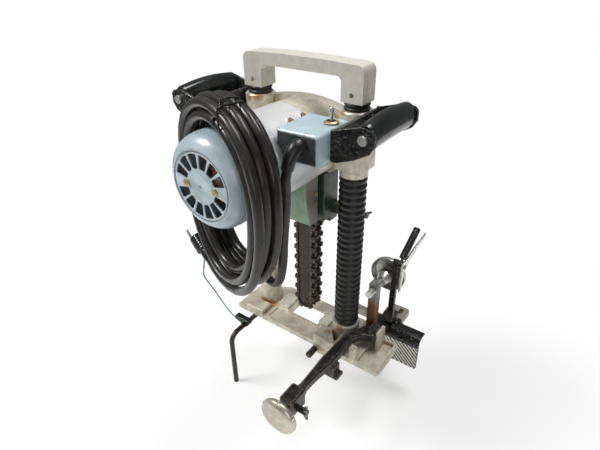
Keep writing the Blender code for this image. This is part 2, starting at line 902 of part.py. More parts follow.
# Base
def base_casting():
    """Cast the base: a plate on two pads, with the columns' seats, blocks, tray and lugs."""
    outline = [
        (BASE_LEFT, BASE_FRONT),
        (BASE_RIGHT, BASE_FRONT),
        (BASE_RIGHT, TRAY_REAR),
        (REAR_LUG_RIGHT, TRAY_REAR),
        (REAR_LUG_RIGHT, REAR_LUG_Y),
        (REAR_LUG_LEFT, REAR_LUG_Y),
        (REAR_LUG_LEFT, BASE_REAR),
        (LEFT_CORNER_X, BASE_REAR),
        (BASE_LEFT, BASE_LEFT_REAR),
    ]
    base = softened(plate("base_casting", [outline], "Z", PAD_HEIGHT, DECK), CAST_BEVEL)
    left_outline = [
        (BASE_LEFT + PAD_INSET, PAD_FRONT),
        (LEFT_PAD_RIGHT, PAD_FRONT),
        (LEFT_PAD_RIGHT, PAD_REAR),
        (PAD_DIAGONAL_X, PAD_REAR),
        (BASE_LEFT + PAD_INSET, BASE_LEFT_REAR - PAD_INSET),
    ]
    right_outline = [
        (RIGHT_PAD_LEFT, PAD_FRONT),
        (BASE_RIGHT - PAD_INSET, PAD_FRONT),
        (BASE_RIGHT - PAD_INSET, TRAY_REAR - PAD_INSET),
        (REAR_LUG_RIGHT - PAD_INSET, TRAY_REAR - PAD_INSET),
        (REAR_LUG_RIGHT - PAD_INSET, PAD_REAR),
        (RIGHT_PAD_LEFT, PAD_REAR),
    ]
    inside = PAD_HEIGHT + CAST_BEVEL
    seat = [
        (SEAT_FOOT_RADIUS, inside),
        (SEAT_FOOT_RADIUS, DECK),
        (SEAT_RADIUS, DECK + SEAT_FOOT_RADIUS - SEAT_RADIUS),
        (SEAT_RADIUS, BELLOWS_BOTTOM - CAST_BEVEL),
        (SEAT_RADIUS - CAST_BEVEL, BELLOWS_BOTTOM),
    ]
    cone = [
        (CONE_FOOT_RADIUS, inside),
        (CONE_FOOT_RADIUS, DECK + CAST_BEVEL),
        (CONE_TOP_RADIUS, DECK + CONE_HEIGHT - CAST_BEVEL),
        (CONE_TOP_RADIUS - CAST_BEVEL, DECK + CONE_HEIGHT),
    ]
    base = fused(
        base,
        plate("left_pad", [left_outline], "Z", 0, inside),
        plate("right_pad", [right_outline], "Z", 0, inside),
        turned("right_seat", seat, (COLUMN_X, 0, 0), Z_AXIS),
        turned("left_cone", cone, (-COLUMN_X, 0, 0), Z_AXIS),
        block("left_block", LEFT_BLOCK_LOW, LEFT_BLOCK_HIGH, CAST_BEVEL),
        block("right_block", RIGHT_BLOCK_LOW, RIGHT_BLOCK_HIGH, CAST_BEVEL),
        block("square_post", POST_LOW, POST_HIGH, CAST_BEVEL),
    )
    tray_low = (TRAY_LEFT, BASE_FRONT + TRAY_RIM, DECK - TRAY_DEPTH)
    tray_high = (BASE_RIGHT - TRAY_RIM, TRAY_REAR - TRAY_RIM, DECK + TRAY_DEPTH)
    pocket = [(POCKET_LEFT, POCKET_REAR), (POCKET_RIGHT, POCKET_REAR), (POCKET_RIGHT, POCKET_FRONT)]
    opening_low = (-OPENING_HALF_LENGTH, OPENING_FRONT, -OVERSHOOT)
    opening_high = (OPENING_HALF_LENGTH, OPENING_REAR, DECK + OVERSHOOT)
    groove_low = (BEAM_GROOVE_LEFT, BEAM_GROOVE_FRONT, DECK - BEAM_GROOVE_DEPTH)
    groove_high = (BEAM_GROOVE_RIGHT, BEAM_GROOVE_REAR, DECK + BEAM_GROOVE_DEPTH)
    column_bore = COLUMN_RADIUS + GAP
    base = cut(
        base,
        block("tray_room", tray_low, tray_high),
        plate("pocket", [pocket], "Z", POCKET_FLOOR, RIGHT_BLOCK_HIGH[2] + OVERSHOOT),
        block("chain_opening", opening_low, opening_high),
        block("deck_groove", groove_low, groove_high),
        rod("left_bore", (-COLUMN_X, 0, COLUMN_FLOOR), (-COLUMN_X, 0, THROUGH), column_bore),
        rod("right_bore", (COLUMN_X, 0, COLUMN_FLOOR), (COLUMN_X, 0, THROUGH), column_bore),
        rod("gauge_bore", (GAUGE_X, -THROUGH, GAUGE_Z), (GAUGE_X, THROUGH, GAUGE_Z), GAUGE_BORE),
        rod("guide_bore", (GUIDE_X, -THROUGH, GUIDE_Z), (GUIDE_X, THROUGH, GUIDE_Z), GUIDE_BORE),
    )
    lug_low = (ARM_LUG_LEFT, ARM_LUG_LOW_Y, PAD_HEIGHT)
    lug_high = (ARM_LUG_LEFT + ARM_LUG_THICKNESS, ARM_LUG_HIGH_Y, ARM_LUG_TOP)
    base = fused(base, block("arm_lug", lug_low, lug_high, CAST_BEVEL))
    pin_start = (LEVER_HUB_LEFT - GAP, LEVER_PIVOT_Y, LEVER_PIVOT_Z)
    pin_end = (ARM_LUG_LEFT + ARM_LUG_THICKNESS / 2, LEVER_PIVOT_Y, LEVER_PIVOT_Z)
    return fused(base, rod("arm_pin", pin_start, pin_end, LEVER_PIN))


def wear_block(name, left, width):
    """Make a wear block with saw-tooth grooves beside the chain opening."""
    low = (left, WEAR_FRONT, DECK + GAP)
    high = (left + width, WEAR_REAR, DECK + GAP + WEAR_HEIGHT)
    body = block(name, low, high)
    pitch = width / WEAR_GROOVES
    grooves = []
    for index in range(WEAR_GROOVES):
        middle = left + pitch * (index + 0.5)
        reach = pitch * WEAR_GROOVE_SHARE
        groove = [
            (middle - reach, high[2] + OVERSHOOT),
            (middle - reach, high[2]),
            (middle, high[2] - WEAR_GROOVE_DEPTH),
            (middle + reach, high[2]),
            (middle + reach, high[2] + OVERSHOOT),
        ]
        grooves.append(plate("groove", [groove], "Y", WEAR_FRONT - OVERSHOOT, WEAR_REAR + OVERSHOOT))
    return cut(body, *grooves)


def column(name, centre):
    """Make one guide column."""
    start = (centre, 0, COLUMN_FLOOR + GAP)
    end = (centre, 0, FOOT_BOTTOM + COLUMN_IN_HANDLE - GAP)
    return rod(name, start, end, COLUMN_RADIUS, sides=FINE)


def carry_handle():
    """Cast the carry handle: two square legs over the columns' tops and a bar."""
    outer = COLUMN_X + LEG_SIZE / 2
    inner = COLUMN_X - LEG_SIZE / 2
    under = HANDLE_TOP - BAR_THICKNESS
    shoulder = HANDLE_TOP - HANDLE_ARCH
    outline = [
        (-outer, FOOT_BOTTOM),
        (-inner, FOOT_BOTTOM),
        (-inner, under),
        (inner, under),
        (inner, FOOT_BOTTOM),
        (outer, FOOT_BOTTOM),
        (outer, shoulder),
        (inner / 2, HANDLE_TOP),
        (-inner / 2, HANDLE_TOP),
        (-outer, shoulder),
    ]
    feet = set(outline[:2] + outline[4:6])
    shape = []
    for index, corner in enumerate(outline):
        if corner in feet:
            shape.append(corner)
            continue
        radius = HANDLE_CORNER if index > 5 else HANDLE_INNER_CORNER
        three = [outline[index - 1], corner, outline[(index + 1) % len(outline)]]
        shape.extend(rounded(three, radius)[5:10])
    body = plate("carry_handle", [shape], "Y", -LEG_SIZE / 2, LEG_SIZE / 2)
    body = softened(body, HANDLE_BEVEL, 2)
    tools = []
    for side in (-COLUMN_X, COLUMN_X):
        start = (side, 0, FOOT_BOTTOM - OVERSHOOT)
        end = (side, 0, FOOT_BOTTOM + COLUMN_IN_HANDLE)
        tools.append(rod("column_socket", start, end, COLUMN_RADIUS + GAP))
        height = FOOT_BOTTOM + SET_SCREW_ABOVE_FOOT
        hole = SET_SCREW_RADIUS + GAP
        tools.append(rod("screw_hole", (side, -LEG_SIZE, height), (side, 0, height), hole, sides=SMALL))
    return cut(body, *tools)


def bumper(name, centre):
    """Make the rubber ring between the head and the handle."""
    low = HEAD_TOP + GAP
    high = FOOT_BOTTOM - GAP
    profile = [
        (BUMPER_RADIUS, low),
        (BUMPER_RADIUS, low + (high - low) / 3),
        (BUMPER_WAIST, (low + high) / 2),
        (BUMPER_RADIUS, high - (high - low) / 3),
        (BUMPER_RADIUS, high),
    ]
    return turned(name, profile, (centre, 0, 0), Z_AXIS, bore=COLUMN_RADIUS + GAP)


def bellows():
    """Make the ribbed rubber sleeve over the right column."""
    low = BELLOWS_BOTTOM + GAP
    high = HEAD_BOTTOM - GAP
    pitch = (high - low) / RIBS
    profile = [(VALLEY_RADIUS, low)]
    for index in range(RIBS):
        profile.append((RIB_RADIUS, low + pitch * (index + 0.5)))
        profile.append((VALLEY_RADIUS, low + pitch * (index + 1)))
    return turned("bellows", profile, (COLUMN_X, 0, 0), Z_AXIS, BELLOWS_SIDES, BELLOWS_BORE)


def return_spring():
    """Wind the return spring inside the sleeve."""
    low = BELLOWS_BOTTOM + SPRING_WIRE + GAP
    high = HEAD_BOTTOM - SPRING_WIRE - GAP
    count = SPRING_TURNS * SPRING_POINTS + 1
    points = []
    for index in range(count):
        angle = TURN * index / SPRING_POINTS
        height = low + (high - low) * index / (count - 1)
        across = COLUMN_X + SPRING_RADIUS * math.cos(angle)
        points.append((across, SPRING_RADIUS * math.sin(angle), height))
    return tube("return_spring", points, SPRING_WIRE, 0)


# Head
def head_casting():
    """Cast the head: two column bosses, the motor's flange, the web between them and the rear bearing boss."""
    left = turned("head_casting", boss_profile(), (-COLUMN_X, 0, 0), Z_AXIS)
    right = turned("right_boss", boss_profile(), (COLUMN_X, 0, 0), Z_AXIS)
    block_low = HEAD_BOTTOM + BOSS_RING_HEIGHT
    blocks = []
    for side in (-COLUMN_X, COLUMN_X):
        low = (side - BOSS_BLOCK_X, -BOSS_BLOCK_Y, block_low)
        high = (side + BOSS_BLOCK_X, BOSS_BLOCK_Y, block_low + BOSS_BLOCK_HEIGHT)
        blocks.append(block("boss_block", low, high, CAST_BEVEL))
    arch = []
    for step in range(WEB_STEPS + 1):
        share = step / WEB_STEPS
        ends = WEB_LEFT_TOP + (WEB_RIGHT_TOP - WEB_LEFT_TOP) * share
        rise = (WEB_MIDDLE_TOP - (WEB_LEFT_TOP + WEB_RIGHT_TOP) / 2) * math.sin(math.pi * share)
        arch.append((COLUMN_X - COLUMN_SPACING * (1 - share), ends + rise))
    foot = CASE_HALF + CAST_BEVEL + COVER_CHAMFER
    web = arch + [(COLUMN_X, RIB_LOW), (foot, WEB_BOTTOM), (-foot, WEB_BOTTOM), (-COLUMN_X, RIB_LOW)]
    flange_end = (0, FLANGE_REAR, MOTOR_Z)
    head = fused(
        left,
        right,
        *blocks,
        plate("web", [web[::-1]], "Y", FLANGE_REAR - OVERSHOOT, WEB_REAR),
        rod("flange", (0, FLANGE_FRONT, MOTOR_Z), flange_end, BARREL_RADIUS, sides=FINE),
        block("cross_rib", (-COLUMN_X, RIB_FRONT, RIB_LOW), (COLUMN_X, FLANGE_REAR, RIB_HIGH)),
        rod("rear_boss", (0, 0, MOTOR_Z), (0, REAR_BOSS_END, MOTOR_Z), REAR_BOSS_RADIUS),
        block("depth_guide", *depth_guide_bounds(), CAST_BEVEL),
    )
    room_low = (-CHAIN_ROOM_HALF, CHAIN_ROOM_FRONT, WEB_BOTTOM - THROUGH)
    room_high = (CHAIN_ROOM_HALF, CHAIN_ROOM_REAR, MOTOR_Z)
    room_start = (0, CHAIN_ROOM_FRONT, MOTOR_Z)
    room_end = (0, CHAIN_ROOM_REAR, MOTOR_Z)
    seat = BEARING_RADIUS + GAP
    slit_low = (SLIT_LEFT, 0, SLIT_Z)
    slit_high = (SLIT_RIGHT, WEB_REAR + OVERSHOOT, SLIT_Z + SLIT_HEIGHT)
    top = (COLUMN_X, 0, HEAD_TOP + OVERSHOOT)
    return cut(
        head,
        block("flat_foot", (-COLUMN_X, -THROUGH, 0), (COLUMN_X, THROUGH, WEB_BOTTOM)),
        block("chain_room", room_low, room_high),
        rod("sprocket_room", room_start, room_end, CHAIN_ROOM_HALF),
        rod("bearing_seat", (0, 0, MOTOR_Z), (0, BEARING_END, MOTOR_Z), seat),
        rod("shaft_hole", (0, -THROUGH, MOTOR_Z), (0, 0, MOTOR_Z), BEARING_RADIUS),
        rod("left_bore", (-COLUMN_X, 0, 0), (-COLUMN_X, 0, top[2]), COLUMN_RADIUS + GAP),
        rod("right_bore", (COLUMN_X, 0, 0), top, COLUMN_RADIUS + GAP),
        rod("depth_bore", (DEPTH_X, DEPTH_Y, 0), (DEPTH_X, DEPTH_Y, HANDLE_TOP), DEPTH_RADIUS + GAP),
        plate("oval_hole", [oval_outline()], "Y", 0, WEB_REAR + OVERSHOOT),
        block("slit", slit_low, slit_high),
    )


def boss_profile():
    """Give the profile of a column boss of the head."""
    ring_top = HEAD_BOTTOM + BOSS_RING_HEIGHT
    return [
        (BOSS_RING_RADIUS, HEAD_BOTTOM),
        (BOSS_RING_RADIUS, ring_top),
        (BOSS_RADIUS, ring_top + BOSS_RADIUS - BOSS_RING_RADIUS),
        (BOSS_RADIUS, HEAD_TOP - CAST_BEVEL),
        (BOSS_RADIUS - CAST_BEVEL, HEAD_TOP),
    ]


def depth_guide_bounds():
    """Give the corners of the head's guide for the depth rod."""
    low = (DEPTH_X - DEPTH_LUG_HALF, WEB_REAR - OVERSHOOT, RIB_LOW + OVERSHOOT)
    high = (DEPTH_X + DEPTH_LUG_HALF, DEPTH_Y + DEPTH_LUG_HALF, RIB_HIGH - OVERSHOOT)
    return low, high


def oval_outline():
    """Give the oval hole in the head's web."""
    right = circle(OVAL_RADIUS, (OVAL_X + OVAL_HALF_LENGTH, OVAL_Z), SMALL, -math.pi / 2, math.pi / 2, False)
    left = circle(OVAL_RADIUS, (OVAL_X - OVAL_HALF_LENGTH, OVAL_Z), SMALL, math.pi / 2, math.pi * 3 / 2, False)
    return right + left


def motor_barrel():
    """Make the motor's barrel, open at the back, with the front bearing's seat and air holes."""
    rear = FLANGE_FRONT - GAP
    hub = BEARING_RADIUS + END_WALL
    inner = BARREL_FRONT + END_WALL
    axis_front = (0, BARREL_FRONT - OVERSHOOT, MOTOR_Z)
    barrel = rod("motor_barrel", (0, BARREL_FRONT, MOTOR_Z), (0, rear, MOTOR_Z), BARREL_RADIUS, sides=FINE)
    room = rod("room", (0, inner, MOTOR_Z), (0, rear + OVERSHOOT, MOTOR_Z), BARREL_BORE, sides=FINE)
    barrel = cut(barrel, room)
    barrel = fused(barrel, rod("hub", (0, BARREL_FRONT + CAST_BEVEL, MOTOR_Z), (0, FIELD_FRONT, MOTOR_Z), hub))
    holes = [rod("seat", axis_front, (0, rear, MOTOR_Z), BEARING_RADIUS + GAP)]
    for index in range(VENTS):
        angle = TURN * (index + 0.5) / VENTS
        across = VENT_CIRCLE * math.cos(angle)
        height = MOTOR_Z + VENT_CIRCLE * math.sin(angle)
        start = (across, axis_front[1], height)
        holes.append(rod("vent", start, (across, inner + OVERSHOOT, height), VENT_RADIUS, sides=SMALL))
    for place in (BARREL_SCREW_FRONT_Y, BARREL_SCREW_REAR_Y):
        holes.append(rod("screw_hole", *barrel_screw_line(place, 0, THROUGH), SCREW_HOLE, sides=SMALL))
    return cut(barrel, *holes)


def barrel_screw_line(place, start, end):
    """Give two points on a barrel screw's axis, at distances from the motor's axis."""
    across = math.cos(BARREL_SCREW_ANGLE)
    up = math.sin(BARREL_SCREW_ANGLE)
    first = (start * across, place, MOTOR_Z + start * up)
    return first, (end * across, place, MOTOR_Z + end * up)


def barrel_screw(name, place):
    """Make a screw of the barrel's field."""
    top = BARREL_RADIUS + GAP + SCREW_HEAD_HEIGHT
    head = rod(name, *barrel_screw_line(place, BARREL_RADIUS + GAP, top), SCREW_HEAD, SCREW_HEAD, SMALL)
    inner = BARREL_BORE + GAP
    shank = rod("shank", *barrel_screw_line(place, inner, top - GAP), SCREW_SHANK, sides=SMALL)
    return fused(head, shank)


def ring(name, outer, bore, front, rear, sides=ROUND):
    """Make a ring on the motor's axis."""
    return turned(name, [(outer, front), (outer, rear)], (0, 0, MOTOR_Z), Y_AXIS, sides, bore)


def armature():
    """Turn the armature: shaft, iron core and commutator."""
    profile = [
        (SHAFT_RADIUS, SHAFT_FRONT),
        (SHAFT_RADIUS, CORE_FRONT),
        (CORE_RADIUS, CORE_FRONT),
        (CORE_RADIUS, CORE_REAR),
        (SHAFT_RADIUS + CAST_BEVEL, CORE_REAR),
        (SHAFT_RADIUS + CAST_BEVEL, COMMUTATOR_FRONT),
        (COMMUTATOR_RADIUS, COMMUTATOR_FRONT),
        (COMMUTATOR_RADIUS, COMMUTATOR_REAR),
        (SHAFT_RADIUS, COMMUTATOR_REAR),
        (SHAFT_RADIUS, SHAFT_REAR),
    ]
    return turned("armature", profile, (0, 0, MOTOR_Z), Y_AXIS)


def fan():
    """Make the cooling fan: a hub, a back plate and blades."""
    bore = SHAFT_RADIUS + GAP
    hub = ring("cooling_fan", FAN_HUB_RADIUS, bore, FAN_FRONT - FAN_LAP, FAN_REAR + FAN_LAP)
    plate_ring = ring("fan_plate", FAN_RADIUS, FAN_HUB_RADIUS - CAST_BEVEL, FAN_REAR - FAN_PLATE, FAN_REAR)
    wheel = fused(hub, plate_ring)
    for index in range(FAN_BLADES):
        low = (BLADE_INNER, FAN_FRONT, -BLADE_THICKNESS / 2)
        high = (FAN_RADIUS - FAN_LAP, FAN_REAR - FAN_PLATE / 2, BLADE_THICKNESS / 2)
        blade = block("blade", low, high)
        turn = Matrix.Rotation(BLADE_FIRST_ANGLE + TURN * index / FAN_BLADES, 4, "Y")
        blade.data.transform(Matrix.Translation((0, 0, MOTOR_Z)) @ turn)
        wheel = fused(wheel, blade)
    return wheel


def sprocket():
    """Make the drive sprocket of the chain."""
    outline = []
    for index in range(SPROCKET_TEETH * 4):
        radius = SPROCKET_TIP if index % 4 in (1, 2) else SPROCKET_ROOT
        angle = TURN * index / (SPROCKET_TEETH * 4)
        outline.append((radius * math.cos(angle), MOTOR_Z + radius * math.sin(angle)))
    hole = circle(SHAFT_RADIUS + GAP, (0, MOTOR_Z), ROUND)
    return plate("drive_sprocket", [outline, hole], "Y", SPROCKET_FRONT, SPROCKET_REAR)


# Fan cover
def fan_cover():
    """Turn the fan cover and cut its grille."""
    outer = [(radius, COVER_REAR + place) for radius, place in COVER_PROFILE]
    inner = [(radius - COVER_SHELL, COVER_REAR + place + COVER_SHELL) for radius, place in COVER_PROFILE[:-1:2]]
    inner[0] = (COVER_PROFILE[0][0] - COVER_SHELL, COVER_REAR + OVERSHOOT)
    face = COVER_REAR + COVER_PROFILE[-1][1]
    inner.append((COVER_PROFILE[-1][0] - COVER_SHELL * 2, face + COVER_SHELL))
    axis = (0, 0, MOTOR_Z)
    shell = turned("fan_cover", outer, axis, Y_AXIS, FINE)
    room = turned("fan_room", inner, axis, Y_AXIS, FINE)
    groove = ring("grille_groove", GRILLE_RING, GRILLE_RADIUS, face - OVERSHOOT, face + GRILLE_GROOVE, FINE)
    shell = cut(cut(shell, room), groove)
    pitch = (SLOT_LAST_ANGLE - SLOT_FIRST_ANGLE) / (SLOTS_PER_SIDE - 1)
    half_width = pitch * SLOT_SHARE / 2
    for index in range(SLOTS_PER_SIDE):
        for turn in (0, math.pi):
            middle = SLOT_FIRST_ANGLE + pitch * index + turn
            inside = circle(SLOT_INNER, (0, MOTOR_Z), 2, middle - half_width, middle + half_width, False)
            outside = circle(SLOT_OUTER, (0, MOTOR_Z), 2, middle + half_width, middle - half_width, False)
            shell = cut(shell, plate("slot", [inside + outside], "Y", face - OVERSHOOT, face + OVERSHOOT))
    for side in (-SCREW_CIRCLE, SCREW_CIRCLE):
        start = (side, face - OVERSHOOT, MOTOR_Z)
        shell = cut(shell, rod("hole", start, (side, face + OVERSHOOT * 2, MOTOR_Z), SCREW_HOLE, sides=SMALL))
    return shell


def fan_screw(name, side):
    """Make a screw of the grille."""
    face = COVER_REAR + COVER_PROFILE[-1][1] - GAP
    head = rod(name, (side, face, MOTOR_Z), (side, face - SCREW_HEAD_HEIGHT, MOTOR_Z), SCREW_HEAD, sides=SMALL)
    end = (side, face + COVER_SHELL * 2, MOTOR_Z)
    return fused(head, rod("shank", (side, face - GAP, MOTOR_Z), end, SCREW_SHANK, sides=SMALL))


# Switch
def switch_box():
    """Mould the switch box that saddles the barrel."""
    low = (BOX_LEFT, BOX_FRONT, BOX_BOTTOM)
    body = block("switch_box", low, (BOX_RIGHT, BOX_REAR, BOX_TOP), BOX_BEVEL, 2)
    well_start = (TOGGLE_X, TOGGLE_Y, BOX_TOP - TOGGLE_WELL_DEPTH)
    well_end = (TOGGLE_X, TOGGLE_Y, BOX_TOP + OVERSHOOT)
    saddle_start = (0, -THROUGH, MOTOR_Z)
    return cut(
        body,
        rod("saddle", saddle_start, (0, THROUGH, MOTOR_Z), BARREL_RADIUS + GAP, sides=FINE),
        rod("toggle_well", well_start, well_end, TOGGLE_WELL, sides=SMALL),
    )


def switch_nut():
    """Make the round nut around the toggle."""
    low = BOX_TOP + GAP
    profile = [
        (NUT_RADIUS, low),
        (NUT_RADIUS, low + NUT_HEIGHT / 2),
        (TOGGLE_WELL + CAST_BEVEL, low + NUT_HEIGHT),
    ]
    return turned("switch_nut", profile, (TOGGLE_X, TOGGLE_Y, 0), Z_AXIS, SMALL * 2, TOGGLE_WELL)


def toggle_lever():
    """Turn the bat-shaped toggle on the ball that carries it in the well."""
    pivot = (TOGGLE_X, TOGGLE_Y, BOX_TOP - TOGGLE_BELOW)
    length = TOGGLE_BELOW + TOGGLE_ABOVE
    profile = [
        (TOGGLE_FOOT_RADIUS, -TOGGLE_BALL_HALF),
        (TOGGLE_BALL_RADIUS, 0.0),
        (TOGGLE_FOOT_RADIUS, TOGGLE_BALL_HALF),
        (TOGGLE_TIP_RADIUS, length - TOGGLE_TIP_RADIUS),
        (TOGGLE_FOOT_RADIUS, length),
    ]
    return pivoted(turned("toggle_lever", profile, pivot, Z_AXIS, SMALL), pivot)


def gland_route():
    """List the points of the boot's middle line, from the switch box's face."""
    face = Vector((GLAND_X, BOX_FRONT - GAP, GLAND_Z))
    return [face + Vector(place) for place in GLAND_ROUTE]


def cord_gland():
    """Mould the rubber boot that leads the cord out of the switch box."""
    face = Vector((GLAND_X, BOX_FRONT - GAP, GLAND_Z))
    flange = rod("cord_gland", face, face + Vector(FRONTWARD) * GLAND_FLANGE_LENGTH, GLAND_FLANGE)
    points = smooth_path(gland_route(), GLAND_POINTS)
    last = GLAND_POINTS - 1
    radii = [1 - (1 - GLAND_TIP / GLAND_ROOT) * index / last for index in range(GLAND_POINTS)]
    return fused(flange, tube("boot", points, GLAND_ROOT, 2, radii=radii))


# Chain case
def case_front():
    """Make the front half of the chain case, hollow towards the chain."""
    outline = [
        (CASE_BACK, CASE_BOTTOM),
        (CASE_FRONT_BOTTOM, CASE_BOTTOM),
        (CASE_FRONT_TOP, CASE_TOP - CASE_HALF),
        (CASE_FRONT_TOP, CASE_TOP),
        (CASE_BACK, CASE_TOP),
    ]
    body = softened(plate("case_front", [outline], "X", -CASE_HALF, CASE_HALF), CAST_BEVEL)
    wall = COVER_SHELL + CAST_BEVEL
    room_low = (-CASE_HALF + wall, CASE_FRONT_BOTTOM + wall, CASE_BOTTOM + wall)
    room_high = (CASE_HALF - wall, CASE_BACK + OVERSHOOT, CASE_TOP - wall)
    hole_start = (CASE_HOLE_X, -THROUGH, CASE_HOLE_Z)
    tools = [
        block("case_room", room_low, room_high),
        rod("oil_hole", hole_start, (CASE_HOLE_X, CASE_BACK, CASE_HOLE_Z), CASE_HOLE_RADIUS, sides=SMALL),
    ]
    for height in (CASE_SCREW_UPPER, CASE_SCREW_LOWER):
        start = (0, CASE_SCREW_Y, height)
        tools.append(rod("hole", start, (THROUGH, CASE_SCREW_Y, height), SCREW_HOLE, sides=SMALL))
    return cut(body, *tools)


def case_screw(name, height):
    """Make a screw in the case's right side."""
    face = CASE_HALF + GAP
    start = (face, CASE_SCREW_Y, height)
    head = rod(name, start, (face + SCREW_HEAD_HEIGHT, CASE_SCREW_Y, height), CASE_SCREW_RADIUS, sides=SMALL)
    inner = (CASE_HALF - COVER_SHELL * 2, CASE_SCREW_Y, height)
    return fused(head, rod("shank", (face + GAP, CASE_SCREW_Y, height), inner, SCREW_SHANK, sides=SMALL))


def case_rear():
    """Make the rear half of the chain case, which carries the guide bar and the depth rod's lug."""
    outline = [
        (COVER_START, COVER_STEP_Z),
        (COVER_STEP_Y, COVER_STEP_Z),
        (COVER_STEP_Y, COVER_BOTTOM),
        (COVER_END, COVER_BOTTOM),
        (COVER_END, CASE_TOP),
        (COVER_START, CASE_TOP),
    ]
    body = softened(plate("case_rear", [outline], "X", -COVER_HALF, COVER_HALF), CAST_BEVEL)
    lug_low = (COVER_HALF - COVER_SHELL, DEPTH_Y - DEPTH_LUG_HALF, DEPTH_LUG_LOW)
    lug_high = (DEPTH_X + DEPTH_LUG_HALF, DEPTH_Y + DEPTH_LUG_HALF, DEPTH_LUG_HIGH)
    body = fused(body, block("depth_lug", lug_low, lug_high, CAST_BEVEL))
    room_low = (-CHAIN_ROOM_HALF, -THROUGH, 0)
    room_high = (CHAIN_ROOM_HALF, CHAIN_ROOM_REAR, THROUGH)
    body = cut(
        body,
        block("chain_path", room_low, room_high),
        rod("depth_bore", (DEPTH_X, DEPTH_Y, 0), (DEPTH_X, DEPTH_Y, THROUGH), DEPTH_RADIUS + GAP),
    )
    boss_low = (-BAR_BOSS_HALF, CHAIN_Y + BAR_HALF_THICKNESS + GAP, BAR_BOSS_LOW)
    boss_high = (BAR_BOSS_HALF, CHAIN_ROOM_REAR + CAST_BEVEL, BAR_BOSS_HIGH)
    body = fused(body, block("bar_boss", boss_low, boss_high))
    middle = (DEPTH_LUG_LOW + DEPTH_LUG_HIGH) / 2
    return cut(body, rod("wing_hole", (DEPTH_X, DEPTH_Y, middle), (THROUGH, DEPTH_Y, middle), WING_SHANK + GAP))


# Guide bar and chain
def guide_bar():
    """Make the guide bar with its round nose."""
    nose = circle(BAR_HALF_WIDTH, (0, NOSE_Z), SMALL, math.pi, TURN, False)
    outline = [(BAR_HALF_WIDTH, BAR_TOP), (-BAR_HALF_WIDTH, BAR_TOP)] + nose
    low = CHAIN_Y - BAR_HALF_THICKNESS
    bar = plate("guide_bar", [outline], "Y", low, CHAIN_Y + BAR_HALF_THICKNESS)
    start = (0, CHAIN_Y - CHAIN_HALF_THICKNESS, NOSE_Z)
    end = (0, CHAIN_Y + CHAIN_HALF_THICKNESS, NOSE_Z)
    return fused(bar, rod("nose_pin", start, end, NOSE_PIN, sides=SMALL))


def loop_place(distance, offset):
    """Give the point of the chain's path at a distance along it, at an offset from the middle line."""
    straight = MOTOR_Z - NOSE_Z
    bend = math.pi * CHAIN_LINK
    distance = distance % ((straight + bend) * 2)
    if distance < straight:
        return (offset, NOSE_Z + distance)
    distance -= straight
    if distance < bend:
        angle = distance / CHAIN_LINK
        return (offset * math.cos(angle), MOTOR_Z + offset * math.sin(angle))
    distance -= bend
    if distance < straight:
        return (-offset, MOTOR_Z - distance)
    angle = (distance - straight) / CHAIN_LINK
    return (-offset * math.cos(angle), NOSE_Z - offset * math.sin(angle))


def chain_row(name, front, rear, phase):
    """Make one row of the chain's links, with a cutting tooth on each."""
    length = (MOTOR_Z - NOSE_Z + math.pi * CHAIN_LINK) * 2
    count = round(length / TOOTH_PITCH)
    pitch = length / count
    outline = []
    for index in range(count):
        start = pitch * (index + phase)
        outline.append(loop_place(start, CHAIN_LINK))
        outline.append(loop_place(start + pitch * TOOTH_RISE_SHARE, CHAIN_TOOTH))
        outline.append(loop_place(start + pitch * TOOTH_FALL_SHARE, CHAIN_LINK))
    nose = circle(CHAIN_INNER, (0, NOSE_Z), ARC_STEPS, math.pi, TURN, False)
    top = circle(CHAIN_INNER, (0, MOTOR_Z), ARC_STEPS, 0, math.pi, False)
    return plate(name, [outline, nose + top], "Y", front, rear)


def chain():
    """Build the chain of two rows of links, their teeth in turn."""
    front = CHAIN_Y - CHAIN_HALF_THICKNESS
    rear = CHAIN_Y + CHAIN_HALF_THICKNESS
    first = chain_row("cutting_chain", front, CHAIN_Y + ROW_LAP, 0)
    return fused(first, chain_row("rear_row", CHAIN_Y - ROW_LAP, rear, 0.5))


def depth_rod():
    """Make the depth stop rod."""
    return rod("depth_rod", (DEPTH_X, DEPTH_Y, DEPTH_BOTTOM), (DEPTH_X, DEPTH_Y, DEPTH_TOP), DEPTH_RADIUS)


def wing_screw(name, point, axis, span_axis, depth):
    """Make a wing screw whose hub stands on a face at the point."""
    point = Vector(point)
    axis = Vector(axis)
    side = Vector(span_axis)
    third = axis.cross(side)
    start = point + axis * GAP
    hub_end = start + axis * WING_HUB_LENGTH
    hub = rod(name, start, hub_end, WING_HUB, sides=SMALL)
    shank = rod("shank", point - axis * depth, start + axis * CAST_BEVEL, WING_SHANK, sides=SMALL)
    tools = [shank]
    for sign in (-1, 1):
        outline = []
        for share, rise in WING_SHARES:
            outline.append((sign * WING_SPAN * share, WING_HUB_LENGTH / 2 + WING_HEIGHT * rise))
        wing = plate("wing", [outline], "Z", -WING_THICKNESS / 2, WING_THICKNESS / 2)
        matrix = Matrix((side, axis, -third)).transposed().to_4x4()
        wing.data.transform(Matrix.Translation(start) @ matrix)
        tools.append(restored(wing))
    return fused(hub, *tools)


def restored(obj):
    """Make the faces point outwards again."""
    builder = bmesh.new()
    builder.from_mesh(obj.data)
    bmesh.ops.recalc_face_normals(builder, faces=builder.faces)
    builder.to_mesh(obj.data)
    builder.free()
    return obj


